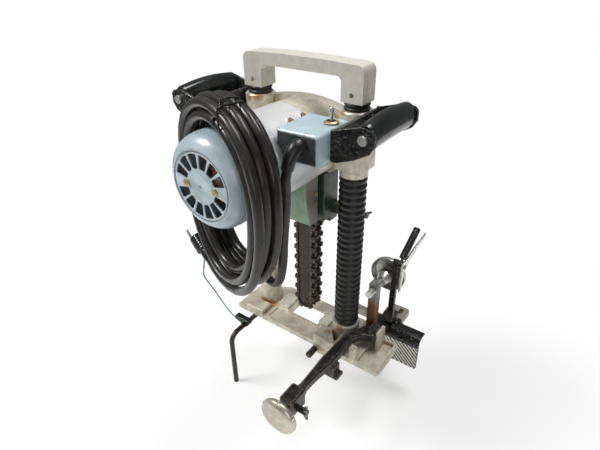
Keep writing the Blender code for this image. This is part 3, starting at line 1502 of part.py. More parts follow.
# Brackets and grips
def right_bracket():
    """Bend the right bracket: a web along the head and an arm at each end."""
    outer = WEB_INNER + BRACKET_THICKNESS
    lap = BRACKET_THICKNESS / 2
    low = (WEB_INNER, BRACKET_FRONT + lap, BRACKET_LOW)
    web = block("right_bracket", low, (outer, BRACKET_REAR - lap, BRACKET_HIGH))
    outline = [(WEB_INNER + across, MOTOR_Z + up) for across, up in ARM_OUTLINE]
    front = plate("front_arm", [outline], "Y", BRACKET_FRONT, BRACKET_FRONT + BRACKET_THICKNESS)
    rear = plate("rear_arm", [outline], "Y", BRACKET_REAR - BRACKET_THICKNESS, BRACKET_REAR)
    body = softened(fused(web, front, rear), BRACKET_BEVEL)
    hole = rod("holes", (GRIP_X, -THROUGH, GRIP_Z), (GRIP_X, THROUGH, GRIP_Z), BOLT_HOLE, sides=SMALL)
    return cut(body, hole)


def right_grip():
    """Mould the arched grip between the right bracket's arms."""
    front = BRACKET_FRONT + BRACKET_THICKNESS + GAP
    rear = BRACKET_REAR - BRACKET_THICKNESS - GAP
    points = []
    radii = []
    for index in range(GRIP_POINTS):
        share = index / (GRIP_POINTS - 1)
        swell = math.sin(math.pi * share)
        radius = GRIP_END_RADIUS + (GRIP_MIDDLE_RADIUS - GRIP_END_RADIUS) * swell
        points.append((0.0, front + (rear - front) * share, GRIP_BOW * swell))
        radii.append(radius / GRIP_MIDDLE_RADIUS)
    points.insert(1, (0.0, front + CAST_BEVEL, 0.0))
    points.insert(-1, (0.0, rear - CAST_BEVEL, 0.0))
    radii = radii[:1] + radii + radii[-1:]
    grip = tube("right_grip", points, GRIP_MIDDLE_RADIUS, GRIP_RESOLUTION, radii=radii)
    squeeze = Matrix.Scale(GRIP_WIDTH_SHARE, 4, X_AXIS)
    grip.data.transform(Matrix.Translation((GRIP_X, 0, GRIP_Z)) @ squeeze)
    hole = rod("hole", (GRIP_X, -THROUGH, GRIP_Z), (GRIP_X, THROUGH, GRIP_Z), BOLT_HOLE, sides=SMALL)
    return cut(grip, hole)


def right_grip_bolt():
    """Make the long bolt that holds the grip, with its nut behind the rear arm."""
    front = BRACKET_FRONT - GAP
    rear = BRACKET_REAR + GAP
    head_end = (GRIP_X, front - BOLT_HEAD_HEIGHT, GRIP_Z)
    nut_end = (GRIP_X, rear + BOLT_HEAD_HEIGHT, GRIP_Z)
    return fused(
        rod("right_grip_bolt", (GRIP_X, front, GRIP_Z), head_end, BOLT_HEAD, sides=SMALL),
        rod("shank", (GRIP_X, front - GAP, GRIP_Z), (GRIP_X, rear + GAP, GRIP_Z), BOLT_RADIUS, sides=SMALL),
        rod("nut", (GRIP_X, rear, GRIP_Z), nut_end, BOLT_HEAD, sides=NUT_SIDES),
    )


# Side lever
def shift_arm():
    """Forge the curved lever with its hub, shoe and end block."""
    arm = plate("shift_arm", [LEVER_OUTLINE], "Z", LEVER_LOW, LEVER_HIGH)
    arm = softened(arm, LEVER_BEVEL)
    hub_start = (LEVER_HUB_LEFT, LEVER_PIVOT_Y, LEVER_PIVOT_Z)
    hub_end = (LEVER_HUB_RIGHT, LEVER_PIVOT_Y, LEVER_PIVOT_Z)
    shoe_step = (SHOE_LOW[0], SHOE_LOW[1], SHOE_LOW[2])
    ear_high = (SHOE_HIGH[0] + SHOE_EAR, SHOE_HIGH[1], SHOE_EAR_HIGH)
    arm = fused(
        arm,
        rod("hub", hub_start, hub_end, LEVER_HUB_RADIUS),
        block("shoe", SHOE_LOW, (SHOE_HIGH[0], SHOE_HIGH[1], LEVER_LOW + LEVER_BEVEL), CAST_BEVEL),
        block("shoe_ear", shoe_step, ear_high, CAST_BEVEL),
        block("end_block", END_BLOCK_LOW, END_BLOCK_HIGH, LEVER_BEVEL),
    )
    shaft_start = (LEVER_X, -THROUGH, KNOB_Z)
    shaft_end = (LEVER_X, KNOB_SHAFT_REAR + GAP, KNOB_Z)
    wing_start = (END_BLOCK_HIGH[0] - ARM_WING_DEPTH - GAP, ARM_WING_Y, ARM_WING_Z)
    arm = cut(
        arm,
        rod("pivot_bore", (0, LEVER_PIVOT_Y, LEVER_PIVOT_Z), (THROUGH, LEVER_PIVOT_Y, LEVER_PIVOT_Z), LEVER_BORE),
        rod("knob_bore", shaft_start, shaft_end, KNOB_SHAFT_BORE),
        rod("wing_bore", wing_start, (THROUGH, ARM_WING_Y, ARM_WING_Z), WING_SHANK + GAP),
    )
    return pivoted(arm, (0, LEVER_PIVOT_Y, LEVER_PIVOT_Z))


def shift_knob():
    """Turn the domed palm knob on its shaft."""
    profile = [(radius, KNOB_BACK + place) for radius, place in KNOB_PROFILE]
    profile.append((KNOB_SHAFT / 2, KNOB_BACK + KNOB_FACE))
    knob = turned("shift_knob", profile, (LEVER_X, 0, KNOB_Z), Y_AXIS, FINE)
    shaft_end = (LEVER_X, KNOB_SHAFT_REAR, KNOB_Z)
    shaft = rod("shaft", (LEVER_X, KNOB_BACK + KNOB_FACE / 2, KNOB_Z), shaft_end, KNOB_SHAFT)
    knob = fused(knob, shaft)
    notches = []
    for index in range(KNOB_NOTCHES):
        angle = TURN * (index + 0.5) / KNOB_NOTCHES
        across = LEVER_X + KNOB_PROFILE[4][0] * math.cos(angle)
        height = KNOB_Z + KNOB_PROFILE[4][0] * math.sin(angle)
        start = (across, KNOB_BACK + KNOB_FACE, height)
        notches.append(rod("notch", start, (across, KNOB_BACK + OVERSHOOT, height), KNOB_NOTCH_RADIUS, sides=NUT_SIDES))
    return pivoted(cut(knob, *notches), (LEVER_X, KNOB_BACK, KNOB_Z))


def gauge_rod():
    """Bend the gauge rod that slides through the base and hangs down in front of the timber."""
    points = [(GAUGE_X, GAUGE_REAR, GAUGE_Z)]
    centre_y = GAUGE_BEND_Y + GAUGE_BEND
    for step in range(GAUGE_BEND_STEPS + 1):
        angle = math.pi / 2 * step / GAUGE_BEND_STEPS
        place = centre_y - GAUGE_BEND * math.sin(angle)
        points.append((GAUGE_X, place, GAUGE_Z - GAUGE_BEND * (1 - math.cos(angle))))
    points.append((GAUGE_X, GAUGE_BEND_Y, GAUGE_BOTTOM))
    return pivoted(tube("gauge_rod", points, GAUGE_RADIUS, 3), points[0])


def earth_clip():
    """Make the spring clip of the earth lead, gripping the gauge rod."""
    body = block("earth_clip", CLIP_LOW, CLIP_HIGH, CAST_BEVEL)
    jaws = []
    for sign in (-1, 1):
        near = GAUGE_X + sign * (GAUGE_RADIUS + GAP)
        far = near + sign * CLIP_JAW_THICKNESS
        low = (min(near, far), CLIP_LOW[1] + CAST_BEVEL, CLIP_JAW_LOW)
        high = (max(near, far), CLIP_LOW[1] + CAST_BEVEL + CLIP_JAW_LENGTH, CLIP_LOW[2] + CLIP_JAW_THICKNESS)
        jaws.append(block("jaw", low, high))
    return fused(body, *jaws)


# Vise
def vise_post():
    """Make the post on the base that carries the vise screw's thread."""
    low = (SPINDLE_X - VISE_POST_HALF, VISE_POST_FRONT, DECK + GAP)
    high = (SPINDLE_X + VISE_POST_HALF, VISE_POST_REAR, VISE_POST_TOP)
    post = block("vise_post", low, high, CAST_BEVEL)
    bore = rod("thread", (SPINDLE_X, -THROUGH, SPINDLE_Z), (SPINDLE_X, THROUGH, SPINDLE_Z), SPINDLE_BORE)
    return cut(post, bore)


def vise_screw():
    """Turn the vise screw with its collar and hand wheel."""
    axis = (SPINDLE_X, 0, SPINDLE_Z)
    profile = [
        (SPINDLE_RADIUS, SPINDLE_FRONT),
        (SPINDLE_RADIUS, CONE_FRONT),
        (CONE_SMALL, CONE_FRONT),
        (CONE_LARGE, CONE_REAR),
        (SPINDLE_RADIUS, CONE_REAR),
        (SPINDLE_RADIUS, WHEEL_FRONT),
    ]
    profile += [(radius, WHEEL_FRONT + place) for radius, place in WHEEL_PROFILE]
    profile.append((SPINDLE_RADIUS, WHEEL_FRONT + WHEEL_FACE))
    return pivoted(turned("vise_screw", profile, axis, Y_AXIS), axis)


def vise_upright():
    """Forge the upright that hangs the jaw's carriage on the screw."""
    top = CARRIAGE_TOP_Z + CARRIAGE_TOP_THICKNESS + GAP
    outline = [
        (UPRIGHT_LEFT, top),
        (UPRIGHT_RIGHT, top),
        (UPRIGHT_RIGHT, UPRIGHT_TOP),
        (UPRIGHT_LEFT, UPRIGHT_TOP),
    ]
    body = plate("vise_upright", [outline], "Y", UPRIGHT_FRONT, UPRIGHT_REAR)
    eye_start = (SPINDLE_X, UPRIGHT_FRONT + EYE_SET_BACK, SPINDLE_Z)
    eye_end = (SPINDLE_X, UPRIGHT_REAR + EYE_SET_BACK, SPINDLE_Z)
    eye = rod("eye", eye_start, eye_end, UPRIGHT_EYE)
    foot_low = (SPINDLE_X, UPRIGHT_FRONT + EYE_SET_BACK, top)
    foot_high = (UPRIGHT_RIGHT - EYE_SET_BACK, UPRIGHT_FOOT_REAR, top + UPRIGHT_FOOT_HEIGHT)
    body = fused(body, eye, block("foot", foot_low, foot_high))
    body = cut(
        body,
        rod("eye_bore", (SPINDLE_X, 0, SPINDLE_Z), (SPINDLE_X, THROUGH, SPINDLE_Z), SPINDLE_BORE),
    )
    pin_start = (UPRIGHT_RIGHT - CAST_BEVEL, PIVOT_Y, PIVOT_Z)
    pin_end = (RELEASE_LEFT + RELEASE_THICKNESS + CAST_BEVEL, PIVOT_Y, PIVOT_Z)
    return fused(body, rod("pivot_pin", pin_start, pin_end, PIVOT_PIN, sides=SMALL))


def vise_carriage():
    """Cast the carriage: a crossbar, a raised top and the block behind the jaw."""
    body = block("vise_carriage", CROSSBAR_LOW, CROSSBAR_HIGH, CAST_BEVEL)
    top_low = (CARRIAGE_TOP_LEFT, CARRIAGE_FRONT, CROSSBAR_HIGH[2] - CAST_BEVEL * 2)
    top_right = CROSSBAR_HIGH[0] - CAST_BEVEL / 2
    top_high = (top_right, CARRIAGE_TOP_REAR, CARRIAGE_TOP_Z + CARRIAGE_TOP_THICKNESS)
    body = fused(
        body,
        block("top", top_low, top_high, CAST_BEVEL),
        block("jaw_block", CARRIAGE_BLOCK_LOW, CARRIAGE_BLOCK_HIGH),
    )
    slot_end = SLOT_FRONT + SLOT_LENGTH
    near = circle(SLOT_RADIUS, (SLOT_X, SLOT_FRONT), SMALL, math.pi, TURN, False)
    far = circle(SLOT_RADIUS, (SLOT_X, slot_end), SMALL, 0, math.pi, False)
    socket_start = (GUIDE_X, CROSSBAR_LOW[1] - OVERSHOOT, GUIDE_Z)
    socket_end = (GUIDE_X, (CROSSBAR_LOW[1] + CROSSBAR_HIGH[1]) / 2, GUIDE_Z)
    return cut(
        body,
        plate("slot", [near + far], "Z", 0, THROUGH),
        rod("guide_socket", socket_start, socket_end, GUIDE_BORE),
    )


def guide_rod():
    """Make the rod that guides the carriage through the base."""
    end = (GUIDE_X, (CROSSBAR_LOW[1] + CROSSBAR_HIGH[1]) / 2 - GAP, GUIDE_Z)
    body = rod("guide_rod", (GUIDE_X, GUIDE_FRONT, GUIDE_Z), end, GUIDE_RADIUS)
    return softened(body, CAST_BEVEL)


def jaw_plate():
    """Machine the jaw with its slanting grooves."""
    body = block("jaw_plate", JAW_LOW, JAW_HIGH)
    width = JAW_HIGH[0] - JAW_LOW[0]
    pitch = width / JAW_GROOVES
    lean = (JAW_HIGH[2] - JAW_LOW[2]) * JAW_LEAN_SHARE
    grooves = []
    for index in range(JAW_GROOVES + JAW_EXTRA_GROOVES):
        middle = JAW_LOW[0] + pitch * (index + 0.5 - JAW_EXTRA_GROOVES)
        reach = pitch * JAW_GROOVE_SHARE / 2
        outline = [
            (middle - reach + lean, JAW_LOW[2] - OVERSHOOT),
            (middle + reach + lean, JAW_LOW[2] - OVERSHOOT),
            (middle + reach, JAW_HIGH[2] + OVERSHOOT),
            (middle - reach, JAW_HIGH[2] + OVERSHOOT),
        ]
        low = JAW_LOW[1] - OVERSHOOT
        grooves.append(plate("groove", [outline], "Y", low, JAW_LOW[1] + JAW_GROOVE_DEPTH))
    return cut(body, *grooves)


def jaw_cover():
    """Fold the half-round cover over the jaw."""
    return plate("jaw_cover", [COVER_SECTION], "X", COVER_LEFT, COVER_RIGHT)


def lock_lever():
    """Make the black lever with its round grip rod."""
    pivot = (LOCK_LEFT, PIVOT_Y, PIVOT_Z)
    right = LOCK_LEFT + LOCK_THICKNESS
    hub = rod("lock_lever", pivot, (right, PIVOT_Y, PIVOT_Z), LOCK_HUB)
    middle = (LOCK_LEFT + right) / 2
    start = (middle, PIVOT_Y + GRIP_ROD_START[0], PIVOT_Z + GRIP_ROD_START[1])
    end = (middle, PIVOT_Y + GRIP_ROD_END[0], PIVOT_Z + GRIP_ROD_END[1])
    arm = rod("arm", (middle, PIVOT_Y, PIVOT_Z), start, LOCK_THICKNESS / 2, sides=SMALL)
    lever = fused(hub, arm, rod("grip", start, end, GRIP_ROD))
    bore = rod("bore", (0, PIVOT_Y, PIVOT_Z), (THROUGH, PIVOT_Y, PIVOT_Z), PIVOT_BORE, sides=SMALL)
    return pivoted(cut(lever, bore), pivot)


def release_lever():
    """Stamp the silver release lever."""
    outline = [(PIVOT_Y + across, PIVOT_Z + up) for across, up in RELEASE_OUTLINE]
    right = RELEASE_LEFT + RELEASE_THICKNESS
    lever = plate("release_lever", [outline], "X", RELEASE_LEFT, right)
    bore = rod("bore", (0, PIVOT_Y, PIVOT_Z), (THROUGH, PIVOT_Y, PIVOT_Z), PIVOT_BORE, sides=SMALL)
    return pivoted(cut(lever, bore), (RELEASE_LEFT, PIVOT_Y, PIVOT_Z))


# Power cord
def loop_curve():
    """Give the inner loop of the hank as fine, evenly spaced points, from the top down the right side."""
    count = len(LOOP_SHAPE)
    fine = []
    for index in range(count):
        ends = [LOOP_SHAPE[(index + shift) % count] for shift in range(-1, 3)]
        for step in range(CURVE_STEPS):
            fine.append(curve_point(*ends, step / CURVE_STEPS))
    fine.append(fine[0])
    return spaced(fine, count * CURVE_STEPS + 1)[:-1]


def coil_path(steps_per_loop):
    """List the hank's points: it spirals out and in at a steady rate, and climbs a layer where that reverses."""
    curve = loop_curve()
    count = len(curve)
    total = COIL_FIRST_TURNS + COIL_TURNS_PER_LAYER * (COIL_LAYERS - 1)
    steps = round(total * steps_per_loop)
    points = []
    for step in range(steps + 1):
        turns = total * step / steps
        share = (COIL_START_SHARE + turns) % 1
        since = (turns - COIL_FIRST_TURNS) / COIL_TURNS_PER_LAYER
        offset = COIL_TURNS_PER_LAYER * abs((since + 1) % 2 - 1) * COIL_PITCH
        layer = 0.0
        for change in range(COIL_LAYERS - 1):
            middle = COIL_FIRST_TURNS + COIL_TURNS_PER_LAYER * change
            layer += min(max((turns - middle) / COIL_CLIMB_TURNS + 0.5, 0.0), 1.0)
        place = share * count
        index = int(place)
        here = curve[index % count].lerp(curve[(index + 1) % count], place - index)
        tangent = (curve[(index + 1) % count] - curve[index - 1]).normalized()
        across = here.x - tangent.y * offset
        up = here.y + tangent.x * offset
        depth = ((COIL_LAYERS - 1) / 2 - layer) * COIL_LAYER
        points.append(coil_place(across, depth, up))
    return points


def coil_place(across, depth, up):
    """Take a point of the hank to its place: its right side lies further to the front than its left one."""
    place = Vector((across * math.cos(COIL_TURN), depth - across * math.sin(COIL_TURN), up))
    return place + Vector((0, COIL_CENTRE_Y, MOTOR_Z))


def least_gap(points, radius, skip):
    """Measure the least gap between a tube's stretches that lie more than skip along it from each other."""
    fine = []
    for first, second in zip(points, points[1:]):
        for step in range(GAP_STEPS):
            fine.append(first.lerp(second, step / GAP_STEPS))
    fine.append(points[-1])
    tree = KDTree(len(fine))
    for index, point in enumerate(fine):
        tree.insert(point, index)
    tree.balance()
    least = THROUGH
    for index, point in enumerate(fine):
        for _, other, distance in tree.find_range(point, radius * 2 + COIL_LAYER):
            if abs(other - index) * (fine[1] - fine[0]).length > skip:
                least = min(least, distance)
    return least - radius * 2


def cord_coil():
    """Coil the put-away cord."""
    points = coil_path(COIL_POINTS)
    gap = least_gap(points, CORD_RADIUS, COIL_PITCH * COIL_SKIP_PITCHES)
    print("cord_coil: least gap to itself", round(gap, 5), "m, more than", COIL_LEAST_GAP, gap > COIL_LEAST_GAP)
    return tube("cord_coil", points, CORD_RADIUS)


def cord_tail():
    """Run the cord from the boot down to the coil's start."""
    boot = smooth_path(gland_route(), GLAND_POINTS)
    heading_out = (boot[-1] - boot[-2]).normalized()
    coil = coil_path(COIL_POINTS)
    heading = (coil[1] - coil[0]).normalized()
    join = coil[0] - heading * GAP
    route = [boot[-1] + heading_out * GAP, boot[-1] + heading_out * CORD_RADIUS * 2]
    route += [Vector(place) for place in TAIL_ROUTE]
    route += [join - heading * CORD_RADIUS * 2, join]
    return tube("cord_tail", smooth_path(route, TAIL_POINTS), CORD_RADIUS)


def cord_tie():
    """Bend the wire tie around the top of the coil."""
    low = TIE_INNER
    corners = [
        (-TIE_HALF_DEPTH, low),
        (TIE_HALF_DEPTH, low),
        (TIE_HALF_DEPTH, TIE_OUTER),
        (-TIE_HALF_DEPTH, TIE_OUTER),
    ]
    outline = rounded(corners, TIE_CORNER)
    points = [coil_place(TIE_U, depth, up) for depth, up in outline]
    return tube("cord_tie", points, TIE_WIRE, 0, cyclic=True)


def plug():
    """Mould the ridged plug at the cord's end, with its two prongs."""
    coil = coil_path(COIL_POINTS)
    heading = (coil[-1] - coil[-2]).normalized()
    start = coil[-1] + heading * GAP
    profile = [(PLUG_NECK, 0.0), (PLUG_NECK, PLUG_NECK_LENGTH)]
    pitch = (PLUG_LENGTH - PLUG_NECK_LENGTH) / (PLUG_RIDGES * 2 + 1)
    for index in range(PLUG_RIDGES * 2 + 1):
        radius = PLUG_RIDGE if index % 2 else PLUG_BODY
        profile.append((radius, PLUG_NECK_LENGTH + pitch * index + CAST_BEVEL))
        profile.append((radius, PLUG_NECK_LENGTH + pitch * (index + 1)))
    body = turned("plug", profile, start, heading, PLUG_SIDES)
    prongs = []
    matrix = along(start, start + heading)[0]
    for side in (-PRONG_SPACING, PRONG_SPACING):
        low = (side - PRONG_HALF_THICKNESS, -PRONG_HALF_WIDTH, PLUG_LENGTH - CAST_BEVEL)
        high = (side + PRONG_HALF_THICKNESS, PRONG_HALF_WIDTH, PLUG_LENGTH + PRONG_LENGTH)
        prong = block("prong", low, high)
        prong.data.transform(matrix)
        prongs.append(prong)
    return fused(body, *prongs)


def earth_wire():
    """Run the thin earth lead from the plug to its clip."""
    clip_end = Vector(((CLIP_LOW[0] + CLIP_HIGH[0]) / 2, CLIP_LOW[1] - GAP, (CLIP_LOW[2] + CLIP_HIGH[2]) / 2))
    straight = Vector(FRONTWARD) * EARTH_RADIUS * 2
    route = smooth_path([Vector(place) for place in EARTH_ROUTE] + [clip_end + straight], EARTH_POINTS)
    return tube("earth_wire", route + [clip_end], EARTH_RADIUS, 0)


# Finishes: red, green, blue, roughness, metallic
CAST_ALUMINIUM = (0.62, 0.60, 0.54, 0.55, 0.6)
HAMMERED_PAINT = (0.66, 0.64, 0.57, 0.48, 0.3)
BLUE_PAINT = (0.42, 0.50, 0.60, 0.42, 0.0)
BLACK_PAINT = (0.025, 0.027, 0.028, 0.35, 0.2)
GREEN_PAINT = (0.22, 0.36, 0.24, 0.5, 0.2)
DARK_GREEN = (0.07, 0.13, 0.10, 0.5, 0.2)
BRIGHT_STEEL = (0.72, 0.73, 0.72, 0.25, 1.0)
WORN_STEEL = (0.45, 0.43, 0.40, 0.45, 1.0)
DARK_STEEL = (0.10, 0.09, 0.08, 0.5, 0.9)
BRASS = (0.68, 0.54, 0.28, 0.4, 0.9)
BLACK_RUBBER = (0.03, 0.03, 0.032, 0.6, 0.0)
CORD_RUBBER = (0.06, 0.055, 0.055, 0.35, 0.0)
BLACK_PLASTIC = (0.02, 0.022, 0.022, 0.25, 0.0)
COPPER = (0.60, 0.32, 0.18, 0.45, 0.9)
GREEN_PLASTIC = (0.10, 0.30, 0.16, 0.45, 0.0)
COLUMN_COATING = (0.78, 0.76, 0.70, 0.4, 0.3)


def painted(obj, finish):
    """Give the piece its own material and smooth its round faces."""
    red, green, blue, roughness, metallic = finish
    material = bpy.data.materials.new(obj.name)
    material.use_nodes = True
    shader = material.node_tree.nodes["Principled BSDF"]
    shader.inputs["Base Color"].default_value = (red, green, blue, 1)
    shader.inputs["Roughness"].default_value = roughness
    shader.inputs["Metallic"].default_value = metallic
    material.diffuse_color = (red, green, blue, 1)
    obj.data.materials.clear()
    obj.data.materials.append(material)
    obj.data.shade_smooth()
    obj.data.set_sharp_from_angle(angle=SMOOTH_ANGLE)
    return obj


def carried(name, place, pieces, parent=None):
    """Hang pieces on an empty that stands on their joint's axis."""
    empty = bpy.data.objects.new(name, None)
    empty.empty_display_size = COLUMN_RADIUS
    empty.location = place
    PIECES.objects.link(empty)
    bpy.context.view_layer.update()
    if parent:
        empty.parent = parent
        empty.matrix_parent_inverse = parent.matrix_world.inverted()
    for piece in pieces:
        piece.parent = empty
        piece.matrix_parent_inverse = Matrix.Translation(place).inverted()
    return empty


def build_frame():
    """Build what stands still: base, columns, handle, sleeve and spring."""
    painted(base_casting(), CAST_ALUMINIUM)
    opening = OPENING_HALF_LENGTH + WEAR_GAP
    painted(wear_block("left_wear_block", -opening - LEFT_WEAR_WIDTH, LEFT_WEAR_WIDTH), BRIGHT_STEEL)
    painted(wear_block("right_wear_block", opening, RIGHT_WEAR_WIDTH), WORN_STEEL)
    painted(column("left_column", -COLUMN_X), COLUMN_COATING)
    painted(column("right_column", COLUMN_X), BRIGHT_STEEL)
    painted(carry_handle(), CAST_ALUMINIUM)
    painted(bumper("left_bumper", -COLUMN_X), BLACK_RUBBER)
    painted(bumper("right_bumper", COLUMN_X), BLACK_RUBBER)
    painted(bellows(), BLACK_RUBBER)
    painted(return_spring(), WORN_STEEL)
    painted(vise_post(), WORN_STEEL)


def build_head():
    """Build the sliding head with its motor, switch, chain, grips and cord."""
    bracket = painted(right_bracket(), BLACK_PAINT)
    grip = painted(right_grip(), BLACK_PLASTIC)
    bolt = painted(right_grip_bolt(), BRIGHT_STEEL)
    depth_middle = (DEPTH_LUG_LOW + DEPTH_LUG_HIGH) / 2
    depth_face = (DEPTH_X + DEPTH_LUG_HALF, DEPTH_Y, depth_middle)
    wing_depth = DEPTH_LUG_HALF - DEPTH_RADIUS - GAP * 2
    pieces = [
        painted(head_casting(), HAMMERED_PAINT),
        painted(motor_barrel(), HAMMERED_PAINT),
        painted(barrel_screw("barrel_screw_front", BARREL_SCREW_FRONT_Y), COPPER),
        painted(barrel_screw("barrel_screw_rear", BARREL_SCREW_REAR_Y), COPPER),
        painted(ring("field_core", FIELD_OUTER, FIELD_BORE, FIELD_FRONT + GAP, FIELD_REAR, FINE), COPPER),
        painted(ring("front_bearing", BEARING_RADIUS, BEARING_BORE, BARREL_FRONT + GAP, FIELD_FRONT), WORN_STEEL),
        painted(ring("rear_bearing", BEARING_RADIUS, BEARING_BORE, REAR_BEARING_FRONT, BEARING_END - GAP), WORN_STEEL),
        painted(fan_cover(), BLUE_PAINT),
        painted(fan_screw("fan_screw_left", -SCREW_CIRCLE), BRASS),
        painted(fan_screw("fan_screw_right", SCREW_CIRCLE), BRASS),
        painted(switch_box(), BLUE_PAINT),
        painted(switch_nut(), BRASS),
        painted(cord_gland(), BLACK_RUBBER),
        painted(case_front(), GREEN_PAINT),
        painted(case_rear(), DARK_GREEN),
        painted(case_screw("case_screw_upper", CASE_SCREW_UPPER), BRASS),
        painted(case_screw("case_screw_lower", CASE_SCREW_LOWER), BRASS),
        painted(guide_bar(), DARK_STEEL),
        painted(chain(), DARK_STEEL),
        painted(mirrored(bracket, "left_bracket"), BLACK_PAINT),
        painted(mirrored(grip, "left_grip"), BLACK_PLASTIC),
        painted(mirrored(bolt, "left_grip_bolt"), BRIGHT_STEEL),
        painted(cord_tail(), CORD_RUBBER),
        painted(cord_coil(), CORD_RUBBER),
        painted(cord_tie(), BLACK_PLASTIC),
        painted(plug(), BLACK_RUBBER),
        painted(earth_wire(), GREEN_PLASTIC),
        painted(wing_screw("depth_wing_screw", depth_face, X_AXIS, Y_AXIS, wing_depth), BLACK_PAINT),
        bracket,
        grip,
        bolt,
    ]
    head = carried("head_slide", (0, 0, HEAD_BOTTOM), pieces)
    turning = [
        painted(armature(), WORN_STEEL),
        painted(fan(), COPPER),
        painted(sprocket(), WORN_STEEL),
    ]
    carried("motor_axis", (0, 0, MOTOR_Z), turning, head)
    toggle = painted(toggle_lever(), BRIGHT_STEEL)
    carried("toggle_axis", tuple(toggle.location), [toggle], head)
    carried("depth_slide", (DEPTH_X, DEPTH_Y, DEPTH_BOTTOM), [painted(depth_rod(), WORN_STEEL)], head)


def build_lever():
    """Build the side lever with its knob and wing screw."""
    arm = painted(shift_arm(), BLACK_PAINT)
    wing_face = (END_BLOCK_HIGH[0], ARM_WING_Y, ARM_WING_Z)
    wing = painted(wing_screw("arm_wing_screw", wing_face, X_AXIS, Z_AXIS, ARM_WING_DEPTH), BLACK_PAINT)
    hub = carried("shift_hinge", (LEVER_X, LEVER_PIVOT_Y, LEVER_PIVOT_Z), [arm, wing])
    carried("knob_axis", (LEVER_X, KNOB_BACK, KNOB_Z), [painted(shift_knob(), BRIGHT_STEEL)], hub)


def build_gauge():
    """Build the gauge rod with the earth clip parked on it."""
    pieces = [painted(gauge_rod(), DARK_STEEL), painted(earth_clip(), BLACK_PLASTIC)]
    carried("gauge_slide", (GAUGE_X, GAUGE_REAR, GAUGE_Z), pieces)


def build_vise():
    """Build the vise: carriage, jaw, screw and levers."""
    pieces = [
        painted(vise_carriage(), WORN_STEEL),
        painted(vise_upright(), BLACK_PAINT),
        painted(guide_rod(), DARK_STEEL),
        painted(jaw_plate(), CAST_ALUMINIUM),
        painted(jaw_cover(), BLACK_PAINT),
    ]
    slide = carried("jaw_slide", (SPINDLE_X, JAW_LOW[1], SPINDLE_Z), pieces)
    carried("screw_axis", (SPINDLE_X, 0, SPINDLE_Z), [painted(vise_screw(), BRIGHT_STEEL)], slide)
    levers = [painted(lock_lever(), BLACK_PAINT), painted(release_lever(), BRIGHT_STEEL)]
    for lever in levers:
        carried(lever.name + "_hinge", tuple(lever.location), [lever], slide)


def main():
    """Build the whole machine at rest, with the head at the top of its columns."""
    clear_scene()
    build_frame()
    build_head()
    build_lever()
    build_gauge()
    build_vise()
    CUTTERS.hide_render = True


main()
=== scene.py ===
"""Dress the chain mortiser: finer pieces and worn finishes over the CAD frame, a studio and the camera.

All lengths are in metres, in the CAD model's own frame: Z up, X from the left column to the right
one, Y to the back.
"""

import logging
import math
from collections.abc import Callable, Iterable, Sequence
from dataclasses import dataclass
from enum import Enum

import bmesh
import bpy
from mathutils import Matrix, Vector


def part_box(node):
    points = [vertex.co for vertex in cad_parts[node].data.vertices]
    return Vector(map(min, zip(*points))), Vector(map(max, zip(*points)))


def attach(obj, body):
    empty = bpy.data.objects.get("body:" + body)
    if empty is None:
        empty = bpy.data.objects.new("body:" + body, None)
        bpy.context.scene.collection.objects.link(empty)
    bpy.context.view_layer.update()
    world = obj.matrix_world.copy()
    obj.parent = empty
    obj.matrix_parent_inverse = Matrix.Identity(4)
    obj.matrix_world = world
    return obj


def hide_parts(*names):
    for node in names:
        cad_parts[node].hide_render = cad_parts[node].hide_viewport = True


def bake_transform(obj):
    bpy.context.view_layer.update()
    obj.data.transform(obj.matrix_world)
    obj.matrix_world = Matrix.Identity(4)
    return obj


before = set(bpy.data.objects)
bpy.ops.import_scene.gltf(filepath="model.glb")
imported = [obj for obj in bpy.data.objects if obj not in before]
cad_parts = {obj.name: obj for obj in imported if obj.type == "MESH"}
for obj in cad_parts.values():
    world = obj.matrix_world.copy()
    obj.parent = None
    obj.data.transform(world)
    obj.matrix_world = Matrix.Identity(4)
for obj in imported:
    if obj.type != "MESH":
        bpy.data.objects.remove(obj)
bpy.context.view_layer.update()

logging.basicConfig(level=logging.INFO, format="%(message)s")
LOG = logging.getLogger("chain_mortiser")

Colour = tuple[float, float, float]
Place = tuple[float, float, float]
Flat = tuple[float, float]

GAP = 0.0003
TURN = 2 * math.pi
MOTOR_Z = 0.305
COLUMN_X = 0.069
SHARP = math.radians(32)
FINE_STEPS = 12


class Axis(Enum):
    """The direction that a turned piece or a plate's thickness lies along."""

    X = 0
    Y = 1
    Z = 2

    def place(self, across: float, up: float, along: float) -> Vector:
        """Turn flat coordinates and a place along the axis into a point."""
        if self is Axis.X:
            return Vector((along, across, up))
        if self is Axis.Y:
            return Vector((across, along, up))
        return Vector((across, up, along))


# Shader maths
EDGE_RANGE = (0.01, 0.16)
CREVICE_RANGE = (0.25, 0.8)


